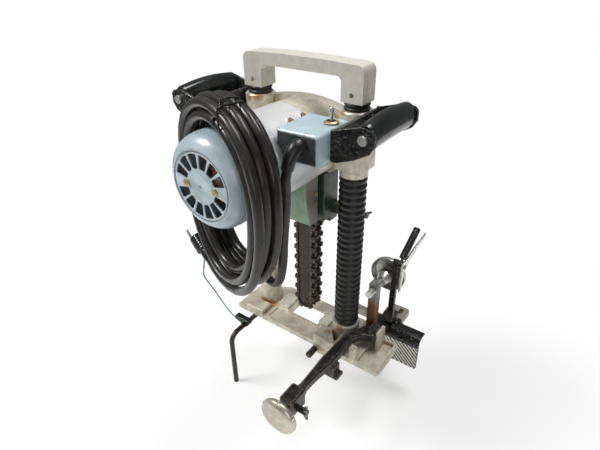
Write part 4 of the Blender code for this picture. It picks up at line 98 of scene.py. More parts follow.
class Value:
    """A number that varies over a surface, with the usual operators."""

    def __init__(self, graph: "Graph", socket: bpy.types.NodeSocket) -> None:
        """Keep the socket and the graph that it belongs to."""
        self.graph = graph
        self.socket = socket

    def _maths(self, operation: str, first: object, second: object) -> "Value":
        """Add a Math node to the graph.

        Args:
            operation: the Math node's operation.
            first: its first value.
            second: its second value.

        Returns:
            The node's result.
        """
        return self.graph.node("ShaderNodeMath", {"operation": operation}, {0: first, 1: second})

    def __add__(self, other: object) -> "Value":
        """Add another value."""
        return self._maths("ADD", self, other)

    __radd__ = __add__

    def __mul__(self, other: object) -> "Value":
        """Multiply by another value."""
        return self._maths("MULTIPLY", self, other)

    __rmul__ = __mul__

    def __sub__(self, other: object) -> "Value":
        """Take another value away."""
        return self._maths("SUBTRACT", self, other)

    def __rsub__(self, other: object) -> "Value":
        """Take this value away from another."""
        return self._maths("SUBTRACT", other, self)

    def above(self, low: float, high: float) -> "Value":
        """Rise smoothly from 0 at a low value to 1 at a high one."""
        settings = {"interpolation_type": "SMOOTHSTEP"}
        values = {"Value": self, "From Min": low, "From Max": high}
        return self.graph.node("ShaderNodeMapRange", settings, values)


class Graph:
    """The node tree of one material or world."""

    def __init__(self, owner: bpy.types.ID, shader: str = "Principled BSDF") -> None:
        """Open the node tree of a material or a world at its shader."""
        self.owner = owner
        owner.use_nodes = True
        self.tree = owner.node_tree
        self.shader = self.tree.nodes[shader]

    def node(
        self,
        kind: str,
        settings: dict[str, object] | None = None,
        values: dict[object, object] | None = None,
        output: int | str = 0,
    ) -> Value:
        """Add a node.

        Args:
            kind: the node's type.
            settings: its own settings, which are set first.
            values: numbers, colours or links, by socket name or number.
            output: the output that is wanted.

        Returns:
            That output.
        """
        node = self.tree.nodes.new(kind)
        for key, setting in (settings or {}).items():
            setattr(node, key, setting)
        for key, value in (values or {}).items():
            self.feed(node.inputs[key], value)
        return Value(self, node.outputs[output])

    def feed(self, socket: bpy.types.NodeSocket, value: object) -> None:
        """Link a value to a socket, or set the socket to it."""
        if isinstance(value, Value):
            self.tree.links.new(value.socket, socket)
        elif isinstance(value, tuple) and socket.type == "RGBA":
            socket.default_value = (*value, 1.0)
        else:
            socket.default_value = value

    def place(self) -> Value:
        """Give the place on the piece."""
        return self.node("ShaderNodeTexCoord", output="Object")

    def where(self, stretch: Place = (1.0, 1.0, 1.0)) -> Value:
        """Give the place on the piece, stretched along the axes."""
        values = {0: self.place(), 1: stretch}
        return self.node("ShaderNodeVectorMath", {"operation": "MULTIPLY"}, values)

    def noise(
        self, size: float, detail: float = 4.0, stretch: Place = (1.0, 1.0, 1.0), seed: float = 0.0
    ) -> Value:
        """Give a cloudy value whose patches are of a size in metres."""
        settings = {"noise_dimensions": "4D"}
        values = {"Vector": self.where(stretch), "W": seed, "Scale": 1 / size, "Detail": detail,
            "Roughness": 0.6}
        return self.node("ShaderNodeTexNoise", settings, values)

    def blend(self, share: object, first: object, second: object) -> Value:
        """Mix two colours by a share of the second."""
        return self.node("ShaderNodeMix", {"data_type": "RGBA"}, {0: share, 6: first, 7: second}, 2)

    def edges(self, width: float) -> Value:
        """Give 1 on sharp edges and 0 on smooth faces."""
        bent = self.node("ShaderNodeBevel", {"samples": 4}, {"Radius": width})
        normal = self.node("ShaderNodeNewGeometry", output="Normal")
        dot = self.node("ShaderNodeVectorMath", {"operation": "DOT_PRODUCT"}, {0: bent, 1: normal}, "Value")
        return (1 - dot).above(*EDGE_RANGE)

    def crevices(self, reach: float) -> Value:
        """Give 1 deep in corners and 0 in the open."""
        settings = {"samples": 6, "only_local": True}
        open_share = self.node("ShaderNodeAmbientOcclusion", settings, {"Distance": reach}, "AO")
        return (1 - open_share).above(*CREVICE_RANGE)


RUST: Colour = (0.24, 0.095, 0.032)
DUST: Colour = (0.30, 0.24, 0.17)
TONE_RANGE = (0.38, 0.64)
DOT_RANGE = (0.52, 0.66)
DOT_SHADE = 0.45
SCRATCHES = (
    (0.009, (1.0, 6.0, 14.0), 5.3, 0.655, 0.665),
    (0.008, (13.0, 1.0, 5.0), 8.3, 0.665, 0.675),
)
BLOT_STRENGTH = 0.85
BLOT_ROUGHNESS = 0.2
CORNER_REACH = 0.010
SPOT_STRENGTH = 0.8
COAT_ROUGHNESS = 0.12


@dataclass(frozen=True)
class Finish:
    """One worn finish: two tones, bare edges, stains and some painted shade in the corners, grain and
    scratches.
    """

    name: str
    base: Colour
    shade: Colour
    patch: float = 0.02
    shade_share: float = 0.6
    speckle: float = 0.0
    speckle_size: float = 0.0012
    worn: Colour = (0.45, 0.43, 0.40)
    worn_share: float = 0.0
    worn_width: float = 0.0012
    # The stain colour is rust, dirt or dust on most finishes; on the fan cover and the jaw it is near black
    # and paints shade, and on the switch box it is dark grey and paints a dark reflection.
    stain_and_shade: Colour = RUST
    stain_share: float = 0.0
    corner_stain_and_shade: float = 0.0
    grain: float = 0.0010
    bump: float = 0.15
    scratches: float = 0.0
    roughness: float = 0.5
    roughness_change: float = 0.15
    metallic: float = 0.0
    worn_metallic: float = 0.8
    coat: float = 0.0
    end_stain_and_shade: tuple[Axis, float, float] | None = None
    specular: float = 0.5
    spots: tuple[tuple[Place, float], ...] = ()

    def speckled(self, graph: Graph, colour: Value) -> Value:
        """Scatter dark dots."""
        dots = graph.noise(self.speckle_size, 2, seed=3.1).above(*DOT_RANGE)
        dark = tuple(part * DOT_SHADE for part in self.base)
        return graph.blend(dots * self.speckle, colour, dark)

    def scratched(self, graph: Graph, colour: Value) -> Value:
        """Draw thin scratches both ways."""
        marks = [
            graph.noise(size, 2, stretch, seed).above(low, high)
            for size, stretch, seed, low, high in SCRATCHES
        ]
        return graph.blend((marks[0] + marks[1]) * self.scratches, colour, self.worn)

    def blots(self, graph: Graph) -> Value:
        """Give the places of the larger stains."""
        cloud = graph.noise(self.patch * 1.7, 7, seed=9.2)
        fine = graph.noise(self.grain * 3, 3, seed=4.4) * 0.25
        low = 0.95 - self.stain_share * 0.45
        return (cloud + fine).above(low, low + 0.1)

    def cornered(self, graph: Graph, colour: Value) -> Value:
        """Darken the corners unevenly towards the stain colour; on the fan cover and the jaw that is
        painted shade.
        """
        uneven = graph.crevices(CORNER_REACH) * (graph.noise(0.006, 5, seed=2.2).above(0.3,
            0.6) * 0.7 + 0.3)
        return graph.blend(uneven * self.corner_stain_and_shade, colour, self.stain_and_shade)

    def spotted(self, graph: Graph, colour: Value) -> Value:
        """Stain ragged spots at their own places."""
        for middle, reach in self.spots:
            values = {0: graph.place(), 1: middle}
            away = graph.node("ShaderNodeVectorMath", {"operation": "DISTANCE"}, values, "Value")
            ragged = away + (graph.noise(0.005, 6, seed=reach * 400) - 0.5) * reach * 1.5
            spot = 1 - ragged.above(reach * 0.55, reach)
            colour = graph.blend(spot * SPOT_STRENGTH, colour, self.stain_and_shade)
        return colour

    def end_stained_and_shaded(self, graph: Graph, colour: Value) -> Value:
        """Colour the piece beyond a place along an axis with the stain colour: rust at the foot of the left
        column and of the clamp post, grey on the chain case's side, painted shade in the jaw's grooves and
        a painted dark reflection on the switch box's front.
        """
        axis, start, end = self.end_stain_and_shade
        along = graph.node("ShaderNodeSeparateXYZ", values={0: graph.place()}, output=axis.value)
        ragged = along + (graph.noise(0.006, 4, seed=1.2) - 0.5) * abs(end - start) * 0.6
        deep = ragged.above(*sorted((start, end)))
        return graph.blend(deep if end > start else 1 - deep, colour, self.stain_and_shade)

    def bared(self, graph: Graph) -> Value:
        """Give the edges that are worn bare."""
        low, high = 0.62 - self.worn_share * 0.35, 0.72 - self.worn_share * 0.2
        broken = graph.noise(0.004, 6, seed=6.6).above(low, high)
        return graph.edges(self.worn_width) * broken

    def made(self) -> bpy.types.Material:
        """Build the material.

        Returns:
            The material.
        """
        graph = Graph(bpy.data.materials.new(self.name))
        change = self.roughness_change
        tone = graph.noise(self.patch, 5).above(*TONE_RANGE)
        colour = graph.blend(tone * self.shade_share, self.base, self.shade)
        grain = graph.noise(self.grain, 3)
        rough = grain * change + tone * change * 0.6 + (self.roughness - change * 0.7)
        metal: object = self.metallic
        if self.speckle:
            colour = self.speckled(graph, colour)
        if self.scratches:
            colour = self.scratched(graph, colour)
        if self.stain_share:
            blot = self.blots(graph)
            colour = graph.blend(blot * BLOT_STRENGTH, colour, self.stain_and_shade)
            rough = rough + blot * BLOT_ROUGHNESS
        if self.corner_stain_and_shade:
            colour = self.cornered(graph, colour)
        colour = self.spotted(graph, colour)
        if self.end_stain_and_shade:
            colour = self.end_stained_and_shaded(graph, colour)
        if self.worn_share:
            bare = self.bared(graph)
            colour = graph.blend(bare, colour, self.worn)
            metal = bare * (self.worn_metallic - self.metallic) + self.metallic
        height = grain + graph.noise(self.grain * 6, 3, seed=7.7) * 0.8
        relief = {"Strength": self.bump, "Distance": self.grain * 0.35, "Height": height}
        sockets = {
            "Base Color": colour,
            "Roughness": rough,
            "Metallic": metal,
            "Specular IOR Level": self.specular,
            "Normal": graph.node("ShaderNodeBump", values=relief),
        }
        if self.coat:
            sockets |= {"Coat Weight": self.coat, "Coat Roughness": COAT_ROUGHNESS}
        for name, value in sockets.items():
            graph.feed(graph.shader.inputs[name], value)
        return graph.owner


CAST = Finish(
    "cast aluminium", (0.64, 0.60, 0.50), (0.42, 0.385, 0.305), 0.012, 0.85, 0.35, 0.0011,
    (0.84, 0.81, 0.72), 0.6, 0.0014,
    (0.42, 0.19, 0.06), 0.18, 0.8, 0.0011, 0.35, 0.3, 0.42, 0.2, 0.45,
    spots=(
        ((-0.066, -0.019, 0.021), 0.010),
        ((-0.056, -0.014, 0.021), 0.009),
        ((0.055, -0.026, 0.026), 0.009),
        ((0.052, -0.048, 0.012), 0.009),
        ((0.083, -0.045, 0.012), 0.008),
        ((0.070, -0.019, 0.040), 0.006),
    ),
)
HANDLE = Finish(
    "handle aluminium", (0.70, 0.675, 0.60), (0.56, 0.53, 0.455), 0.012, 0.6, 0.30, 0.0010,
    (0.86, 0.84, 0.78), 0.5, 0.0016,
    (0.16, 0.12, 0.08), 0.07, 0.6, 0.0010, 0.3, 0.15, 0.44, 0.2, 0.35,
)
HAMMERED = Finish(
    "hammered cream paint", (0.68, 0.645, 0.545), (0.50, 0.46, 0.36), 0.010, 0.8, 0.25, 0.0016,
    (0.36, 0.18, 0.07), 0.65, 0.0012,
    (0.40, 0.19, 0.06), 0.19, 0.8, 0.0016, 0.45, 0.15, 0.36, 0.2, 0.3, 0.4, 0.1,
    spots=(
        ((-0.060, -0.017, 0.349), 0.009),
        ((-0.073, -0.019, 0.346), 0.006),
        ((0.045, 0.002, 0.358), 0.007),
        ((0.060, -0.018, 0.349), 0.006),
        ((0.020, -0.030, 0.270), 0.010),
    ),
)
BARREL = Finish(
    "silver white paint", (0.62, 0.63, 0.64), (0.50, 0.50, 0.50), 0.018, 0.5, 0.15, 0.0012,
    (0.45, 0.36, 0.25), 0.35, 0.0010,
    (0.40, 0.24, 0.10), 0.09, 0.35, 0.0014, 0.3, 0.15, 0.36, 0.15, 0.4,
)
BLUE = Finish(
    "powder blue paint", (0.41, 0.49, 0.55), (0.26, 0.34, 0.35), 0.035, 0.75, 0.10, 0.0012,
    (0.62, 0.60, 0.54), 0.4, 0.0010,
    # near black: with the strong corner setting it paints shade inside the cover, in its slots and its
    # groove; it also gives a few dark blots
    (0.030, 0.028, 0.022), 0.05, 0.95, 0.0014, 0.12, 0.35, 0.30, 0.12, 0.0, 0.5, 0.25,
)
BOX = Finish(
    "blue box paint", (0.39, 0.48, 0.55), (0.26, 0.35, 0.38), 0.030, 0.6, 0.10, 0.0012, (0.60, 0.58, 0.52),
    0.35, 0.0010,
    # dark grey: a few dirt blots, darker corners, and with the end setting below a painted dark reflection
    # over the front face
    (0.040, 0.046, 0.046), 0.04, 0.4, 0.0014, 0.12, 0.3, 0.28, 0.12, 0.0, 0.5, 0.3,
    # painted dark reflection: the box's front face, ahead of y -0.1039, takes the dark grey
    end_stain_and_shade=(Axis.Y, -0.1030, -0.1039),
)
BLACK = Finish(
    "black enamel", (0.009, 0.010, 0.010), (0.022, 0.021, 0.019), 0.012, 0.7, 0.0, 0.001,
    (0.50, 0.48, 0.43), 0.6, 0.0010,
    (0.13, 0.065, 0.035), 0.06, 0.1, 0.0012, 0.2, 0.7, 0.28, 0.15, 0.1, 0.8, 0.1, specular=0.35,
)
FORGED = Finish(
    "forged black steel", (0.012, 0.0115, 0.011), (0.034, 0.030, 0.026), 0.010, 0.8, 0.0, 0.001,
    (0.46, 0.42, 0.36), 0.75, 0.0016,
    RUST, 0.15, 0.2, 0.0014, 0.3, 0.5, 0.34, 0.2, 0.3, 0.8, 0.1, specular=0.4,
)
GREEN = Finish(
    "pale green paint", (0.17, 0.28, 0.17), (0.11, 0.19, 0.11), 0.014, 0.7, 0.12, 0.0012,
    (0.55, 0.47, 0.32), 0.9, 0.0014,
    (0.19, 0.175, 0.14), 0.13, 0.5, 0.0012, 0.25, 0.4, 0.40, 0.15, 0.15, 0.5, 0.1,
    end_stain_and_shade=(Axis.X, 0.0238, 0.0248),
)
DARK_GREEN = Finish(
    "dark green paint", (0.022, 0.055, 0.038), (0.014, 0.030, 0.022), 0.014, 0.6, 0.0, 0.001,
    (0.45, 0.28, 0.14), 0.7, 0.0012,
    RUST, 0.15, 0.4, 0.0012, 0.25, 0.4, 0.38, 0.15, 0.1, 0.5, 0.1,
)
BRIGHT = Finish(
    "bright turned steel", (0.66, 0.66, 0.63), (0.52, 0.52, 0.49), 0.012, 0.6, 0.05, 0.001,
    (0.8, 0.8, 0.78), 0.3, 0.0009,
    (0.22, 0.15, 0.09), 0.08, 0.3, 0.0006, 0.15, 0.5, 0.30, 0.15, 0.9, 0.95,
)
STEEL = Finish(
    "worn steel", (0.42, 0.40, 0.36), (0.26, 0.235, 0.20), 0.008, 0.7, 0.2, 0.0009, (0.62, 0.60, 0.56), 0.6,
    0.0009,
    RUST, 0.28, 0.45, 0.0008, 0.3, 0.35, 0.44, 0.2, 0.75,
)
DARK_STEEL = Finish(
    "blackened steel", (0.014, 0.0125, 0.011), (0.042, 0.028, 0.019), 0.006, 0.8, 0.0, 0.001,
    (0.42, 0.36, 0.28), 0.6, 0.0009,
    RUST, 0.24, 0.4, 0.0009, 0.45, 0.35, 0.38, 0.2, 0.25, specular=0.4,
)
RUSTY = Finish(
    "rusty steel", (0.26, 0.13, 0.065), (0.14, 0.075, 0.042), 0.006, 0.8, 0.2, 0.0009, (0.48, 0.36, 0.26),
    0.4, 0.0009,
    (0.36, 0.15, 0.05), 0.30, 0.3, 0.0009, 0.45, 0.0, 0.62, 0.15, 0.35,
)
BRASS = Finish(
    "dull brass", (0.50, 0.38, 0.20), (0.33, 0.25, 0.13), 0.004, 0.7, 0.1, 0.0008, (0.8, 0.68, 0.42), 0.4,
    0.0006,
    (0.05, 0.035, 0.02), 0.1, 0.9, 0.0007, 0.2, 0.2, 0.36, 0.15, 0.85, 0.95,
)
COPPER = Finish(
    "copper and dust", (0.48, 0.23, 0.11), (0.33, 0.15, 0.07), 0.006, 0.7, 0.2, 0.0008, (0.7, 0.42, 0.25),
    0.3, 0.0008,
    (0.14, 0.08, 0.04), 0.2, 0.5, 0.0008, 0.4, 0.0, 0.5, 0.2, 0.6,
)
RUBBER = Finish(
    "black rubber", (0.012, 0.0115, 0.011), (0.024, 0.022, 0.020), 0.010, 0.6, 0.0, 0.001,
    (0.10, 0.095, 0.09), 0.35, 0.0008,
    DUST, 0.04, 0.05, 0.0009, 0.12, 0.1, 0.36, 0.12, 0.0, 0.0, 0.1, specular=0.35,
)
SHEATH = Finish(
    "cord sheath", (0.014, 0.0125, 0.0115), (0.030, 0.026, 0.023), 0.025, 0.7, 0.0, 0.001,
    (0.14, 0.13, 0.12), 0.0, 0.0009,
    DUST, 0.03, 0.05, 0.0010, 0.06, 0.15, 0.30, 0.12, 0.0, 0.0, 0.12, specular=0.32,
)
PLASTIC = Finish(
    "black plastic", (0.007, 0.009, 0.008), (0.014, 0.017, 0.016), 0.020, 0.6, 0.0, 0.001,
    (0.16, 0.17, 0.165), 0.25, 0.0010,
    DUST, 0.02, 0.04, 0.0013, 0.08, 0.2, 0.20, 0.10, 0.0, 0.0, 0.2, specular=0.35,
)
GREEN_WIRE = Finish(
    "green wire", (0.07, 0.24, 0.13), (0.05, 0.16, 0.09), 0.01, 0.5, 0.0, 0.001, (0.2, 0.3, 0.2), 0.0,
    0.0009,
    DUST, 0.05, 0.1, 0.0008, 0.1, 0.0, 0.42, 0.1, 0.0, 0.0,
)
NICKEL = Finish(
    "dull nickel", (0.56, 0.51, 0.43), (0.42, 0.37, 0.30), 0.010, 0.7, 0.1, 0.0008, (0.80, 0.77, 0.70), 0.4,
    0.0010,
    (0.25, 0.16, 0.08), 0.08, 0.3, 0.0006, 0.2, 0.6, 0.36, 0.15, 0.85, 0.95,
)
JAW = Finish(
    "serrated aluminium", (0.70, 0.68, 0.60), (0.52, 0.50, 0.43), 0.010, 0.6, 0.1, 0.0008,
    (0.85, 0.83, 0.76), 0.5, 0.0006,
    # near black: painted shade in the corners, and with the end setting below painted shade in the grooves
    (0.020, 0.018, 0.014), 0.04, 0.6, 0.0007, 0.2, 0.3, 0.40, 0.15, 0.5, 0.9, 0.0,
    # painted shade: all of the jaw more than about half a millimetre behind its face, the grooves' walls
    # and bottoms among it, takes the near black
    end_stain_and_shade=(Axis.Y, 0.0514, 0.0517),
)
POST = Finish(
    "rusty cast steel", (0.30, 0.31, 0.30), (0.15, 0.13, 0.11), 0.006, 0.8, 0.2, 0.0009, (0.62, 0.60, 0.56),
    0.5, 0.0009,
    (0.22, 0.105, 0.045), 0.30, 0.5, 0.0009, 0.45, 0.1, 0.45, 0.2, 0.5, 0.8, 0.0,
    end_stain_and_shade=(Axis.Z, 0.088, 0.074),
)
CREAM = Finish(
    "cream column", (0.66, 0.63, 0.55), (0.50, 0.47, 0.40), 0.020, 0.6, 0.1, 0.001, (0.7, 0.69, 0.65), 0.2,
    0.0009,
    (0.42, 0.20, 0.08), 0.12, 0.6, 0.0010, 0.12, 0.35, 0.30, 0.15, 0.35, 0.8, 0.1,
    end_stain_and_shade=(Axis.Z, 0.096, 0.089),
)
MATERIALS: dict[str, bpy.types.Material] = {}


# Meshes
def linked(name: str, builder: bmesh.types.BMesh) -> bpy.types.Object:
    """Turn a mesh in the making into an object of the scene."""
    bmesh.ops.recalc_face_normals(builder, faces=builder.faces)
    mesh = bpy.data.meshes.new(name)
    builder.to_mesh(mesh)
    builder.free()
    obj = bpy.data.objects.new(name, mesh)
    bpy.context.scene.collection.objects.link(obj)
    return obj


def baked(obj: bpy.types.Object) -> bpy.types.Object:
    """Replace an object's mesh by the one that its modifiers give."""
    graph = bpy.context.evaluated_depsgraph_get()
    mesh = bpy.data.meshes.new_from_object(obj.evaluated_get(graph), depsgraph=graph)
    if obj.type == "MESH":
        obj.modifiers.clear()
        obj.data = mesh
        return obj
    name = obj.name
    bpy.data.objects.remove(obj)
    result = bpy.data.objects.new(name, mesh)
    bpy.context.scene.collection.objects.link(result)
    return result


def softened(obj: bpy.types.Object, width: float, segments: int = 3) -> bpy.types.Object:
    """Round an object's sharp edges."""
    bevel = obj.modifiers.new("edges", "BEVEL")
    bevel.width = width
    bevel.segments = segments
    bevel.limit_method = "ANGLE"
    bevel.angle_limit = SHARP
    return baked(obj)


def carved(
    obj: bpy.types.Object, tools: Sequence[bpy.types.Object], operation: str = "DIFFERENCE"
) -> bpy.types.Object:
    """Cut tools from an object, or join them to it, one after another."""
    for tool in tools:
        boolean = obj.modifiers.new("carve", "BOOLEAN")
        boolean.operation = operation
        boolean.solver = "EXACT"
        boolean.object = tool
        obj = baked(obj)
        bpy.data.objects.remove(tool)
    return obj


def skinned(builder: bmesh.types.BMesh, pairs: Iterable[Sequence[Sequence[bmesh.types.BMVert]]]) -> None:
    """Wall in the space between each pair of rings."""
    for first, second in pairs:
        for step in range(len(first)):
            after = (step + 1) % len(first)
            builder.faces.new((first[step], first[after], second[after], second[step]))


def turned(
    name: str,
    profile: Sequence[Flat],
    origin: Place,
    axis: Axis,
    sides: int = 72,
    bore: float | None = None,
) -> bpy.types.Object:
    """Turn a profile round an axis.

    Args:
        name: the object's name.
        profile: radii and places along the axis.
        origin: a point on the axis.
        axis: the axis' direction.
        sides: how many sides the circle has.
        bore: the radius of the hole through it, if it has one.

    Returns:
        The closed object.
    """
    builder = bmesh.new()
    outline = list(profile)
    if bore is not None:
        outline += [(bore, outline[-1][1]), (bore, outline[0][1])]
    rings = []
    for radius, along in outline:
        ring = []
        for step in range(sides):
            angle = TURN * step / sides
            place = axis.place(radius * math.cos(angle), radius * math.sin(angle), along)
            ring.append(builder.verts.new(place + Vector(origin)))
        rings.append(ring)
    pairs = list(zip(rings, rings[1:]))
    if bore is None:
        builder.faces.new(rings[0])
        builder.faces.new(rings[-1])
    else:
        pairs.append((rings[-1], rings[0]))
    skinned(builder, pairs)
    return linked(name, builder)


def plate(
    name: str, outlines: Sequence[Sequence[Flat]], axis: Axis, low: float, high: float
) -> bpy.types.Object:
    """Cut a plate from an outline and its holes.

    Args:
        name: the object's name.
        outlines: the outline, then the holes.
        axis: the direction of its thickness.
        low: where its thickness starts.
        high: where its thickness ends.

    Returns:
        The plate.
    """
    curve = bpy.data.curves.new(name, "CURVE")
    curve.dimensions = "2D"
    curve.fill_mode = "BOTH"
    curve.extrude = (high - low) / 2
    for outline in outlines:
        spline = curve.splines.new("POLY")
        spline.points.add(len(outline) - 1)
        for point, place in zip(spline.points, outline):
            point.co = (*place, 0, 1)
        spline.use_cyclic_u = True
    obj = bpy.data.objects.new(name, curve)
    bpy.context.scene.collection.objects.link(obj)
    obj = baked(obj)
    middle = (low + high) / 2
    for vertex in obj.data.vertices:
        across, up, along = vertex.co
        vertex.co = axis.place(across, up, along + middle)
    builder = bmesh.new()
    builder.from_mesh(obj.data)
    bmesh.ops.remove_doubles(builder, verts=builder.verts, dist=1e-6)
    bmesh.ops.recalc_face_normals(builder, faces=builder.faces)
    bmesh.ops.dissolve_limit(builder, angle_limit=0.01, verts=builder.verts, edges=builder.edges)
    builder.to_mesh(obj.data)
    builder.free()
    return obj


def block(name: str, low: Place, high: Place) -> bpy.types.Object:
    """Make a box between two corners."""
    builder = bmesh.new()
    bmesh.ops.create_cube(builder, size=1.0)
    start = Vector(low)
    size = Vector(high) - start
    for vertex in builder.verts:
        vertex.co = start + Vector((part + 0.5) * length for part, length in zip(vertex.co, size))
    return linked(name, builder)


def rod(name: str, start: Place, end: Place, radius: float, sides: int = 32) -> bpy.types.Object:
    """Make a round bar between two points."""
    builder = bmesh.new()
    line = Vector(end) - Vector(start)
    turn = line.to_track_quat("Z", "Y").to_matrix().to_4x4()
    place = Matrix.Translation((Vector(start) + Vector(end)) / 2) @ turn
    bmesh.ops.create_cone(
        builder, cap_ends=True, segments=sides, radius1=radius, radius2=radius, depth=line.length,
        matrix=place
    )
    return linked(name, builder)


def swept(
    name: str, points: Sequence[Vector], radii: Sequence[float], sides: int = 24, squeeze: float = 1.0
) -> bpy.types.Object:
    """Sweep an oval along points.

    Args:
        name: the object's name.
        points: the middle line.
        radii: the radius at each point.
        sides: how many sides the oval has.
        squeeze: its width along X as a share of its height.

    Returns:
        The closed bar.
    """
    builder = bmesh.new()
    rings = []
    for index, (point, radius) in enumerate(zip(points, radii)):
        ahead = points[min(index + 1, len(points) - 1)] - points[max(index - 1, 0)]
        side = Vector((1, 0, 0)) if abs(ahead.normalized().x) < 0.9 else Vector((0, 0, 1))
        up = side.cross(ahead).normalized()
        side = ahead.cross(up).normalized()
        ring = []
        for step in range(sides):
            angle = TURN * step / sides
            offset = side * math.cos(angle) * squeeze + up * math.sin(angle)
            ring.append(builder.verts.new(point + offset * radius))
        rings.append(ring)
    skinned(builder, zip(rings, rings[1:]))
    builder.faces.new(rings[0])
    builder.faces.new(rings[-1])
    return linked(name, builder)


def wire(name: str, points: Sequence[Vector], radius: float, cyclic: bool = False) -> bpy.types.Object:
    """Make a round wire that stays a curve."""
    curve = bpy.data.curves.new(name, "CURVE")
    curve.dimensions = "3D"
    curve.bevel_depth = radius
    curve.bevel_resolution = 5
    curve.use_fill_caps = not cyclic
    spline = curve.splines.new("POLY")
    spline.points.add(len(points) - 1)
    for point, place in zip(spline.points, points):
        point.co = (*place, 1)
    spline.use_cyclic_u = cyclic
    spline.use_smooth = True
    obj = bpy.data.objects.new(name, curve)
    bpy.context.scene.collection.objects.link(obj)
    return obj


def curve_point(before: Vector, start: Vector, end: Vector, after: Vector, share: float) -> Vector:
    """Give a point of the smooth curve that runs from start to end."""
    cubic = (start * 3 - before - end * 3 + after) * share**3
    cubic += (before * 2 - start * 5 + end * 4 - after) * share**2 + (end - before) * share
    return start + cubic * 0.5


def spaced(points: Sequence[Vector], count: int) -> list[Vector]:
    """Pick points at even distances along a fine path."""
    reach = [0.0]
    for first, second in zip(points, points[1:]):
        reach.append(reach[-1] + (second - first).length)
    result = []
    index = 0
    for step in range(count):
        wanted = reach[-1] * step / (count - 1)
        while index < len(points) - 2 and reach[index + 1] < wanted:
            index += 1
        span = reach[index + 1] - reach[index]
        result.append(points[index].lerp(points[index + 1], (wanted - reach[index]) / span))
    return result


def smooth_path(points: Sequence[Vector], count: int) -> list[Vector]:
    """Read evenly spaced points from a smooth curve through the given ones."""
    fine = []
    last = len(points) - 1
    for index in range(last):
        ends = (points[max(index - 1, 0)], points[index], points[index + 1], points[min(index + 2, last)])
        fine += [curve_point(*ends, step / FINE_STEPS) for step in range(FINE_STEPS)]
    fine.append(points[last])
    return spaced(fine, count)


def run_length(points: Sequence[Vector]) -> float:
    """Measure a path."""
    return sum((second - first).length for first, second in zip(points, points[1:]))


def circle(radius: float, centre: Flat, steps: int, start: float = 0.0, end: float = TURN) -> list[Flat]:
    """List points on an arc, its end left out."""
    turns = [start + (end - start) * step / steps for step in range(steps)]
    return [(centre[0] + radius * math.cos(turn), centre[1] + radius * math.sin(turn)) for turn in turns]


def outline_of(spots: Sequence[Flat]) -> list[Flat]:
    """Find the tight outline round flat points."""
    ordered = sorted(spots)
    sides: list[list[Flat]] = []
    for run in (ordered, ordered[::-1]):
        side: list[Flat] = []
        for spot in run:
            while len(side) > 1:
                (ax, ay), (bx, by) = side[-2:]
                if (bx - ax) * (spot[1] - ay) - (by - ay) * (spot[0] - ax) > 0:
                    break
                side.pop()
            side.append(spot)
        sides.append(side[:-1])
    return sides[0] + sides[1]


# Dressing
def dressed(obj: bpy.types.Object, finish: Finish) -> bpy.types.Object:
    """Give an object its finish and smooth its round faces."""
    if finish.name not in MATERIALS:
        MATERIALS[finish.name] = finish.made()
    material = MATERIALS[finish.name]
    if obj.type == "CURVE":
        obj.data.materials.append(material)
        return obj
    obj.data.materials.clear()
    obj.data.materials.append(material)
    obj.data.polygons.foreach_set("use_smooth", [True] * len(obj.data.polygons))
    return obj


def piece(obj: bpy.types.Object, finish: Finish, body: str, slot: str, *nodes: str) -> bpy.types.Object:
    """Dress a new piece, let it ride on a body and stand for nodes.

    Args:
        obj: the piece.
        finish: its finish.
        body: the body that it rides on.
        slot: a material slot name; not used.
        nodes: the nodes that it stands for.

    Returns:
        The piece.
    """
    dressed(obj, finish)
    if obj.type == "MESH":
        obj.data.set_sharp_from_angle(angle=SHARP)
    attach(obj, body)
    if nodes:
        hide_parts(*nodes)
    LOG.info("piece %s", obj.name)
    return obj


def kept(
    node: str, finish: Finish, bevel: float = 0.0, segments: int = 2, sharp: float = SHARP
) -> bpy.types.Object:
    """Keep a CAD node, with its own finish, smooth rounds and softened edges.

    Args:
        node: the node's name.
        finish: its finish.
        bevel: how wide its edges are rounded.
        segments: in how many steps.
        sharp: the angle from which an edge looks sharp.

    Returns:
        The node's object.
    """
    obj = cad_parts[node]
    mesh = obj.data
    for name in ("custom_normal", "sharp_edge"):
        if name in mesh.attributes:
            mesh.attributes.remove(mesh.attributes[name])
    dressed(obj, finish)
    weld = obj.modifiers.new("weld", "WELD")
    weld.merge_threshold = 2e-6
    if bevel:
        planar = obj.modifiers.new("planar", "DECIMATE")
        planar.decimate_type = "DISSOLVE"
        planar.angle_limit = math.radians(1.5)
        edges = obj.modifiers.new("edges", "BEVEL")
        edges.width = bevel
        edges.segments = segments
        edges.limit_method = "ANGLE"
        edges.angle_limit = sharp
    split = obj.modifiers.new("split", "EDGE_SPLIT")
    split.split_angle = sharp
    obj.modifiers.new("flat_faces", "WEIGHTED_NORMAL")
    LOG.info("kept %s", node)
    return obj


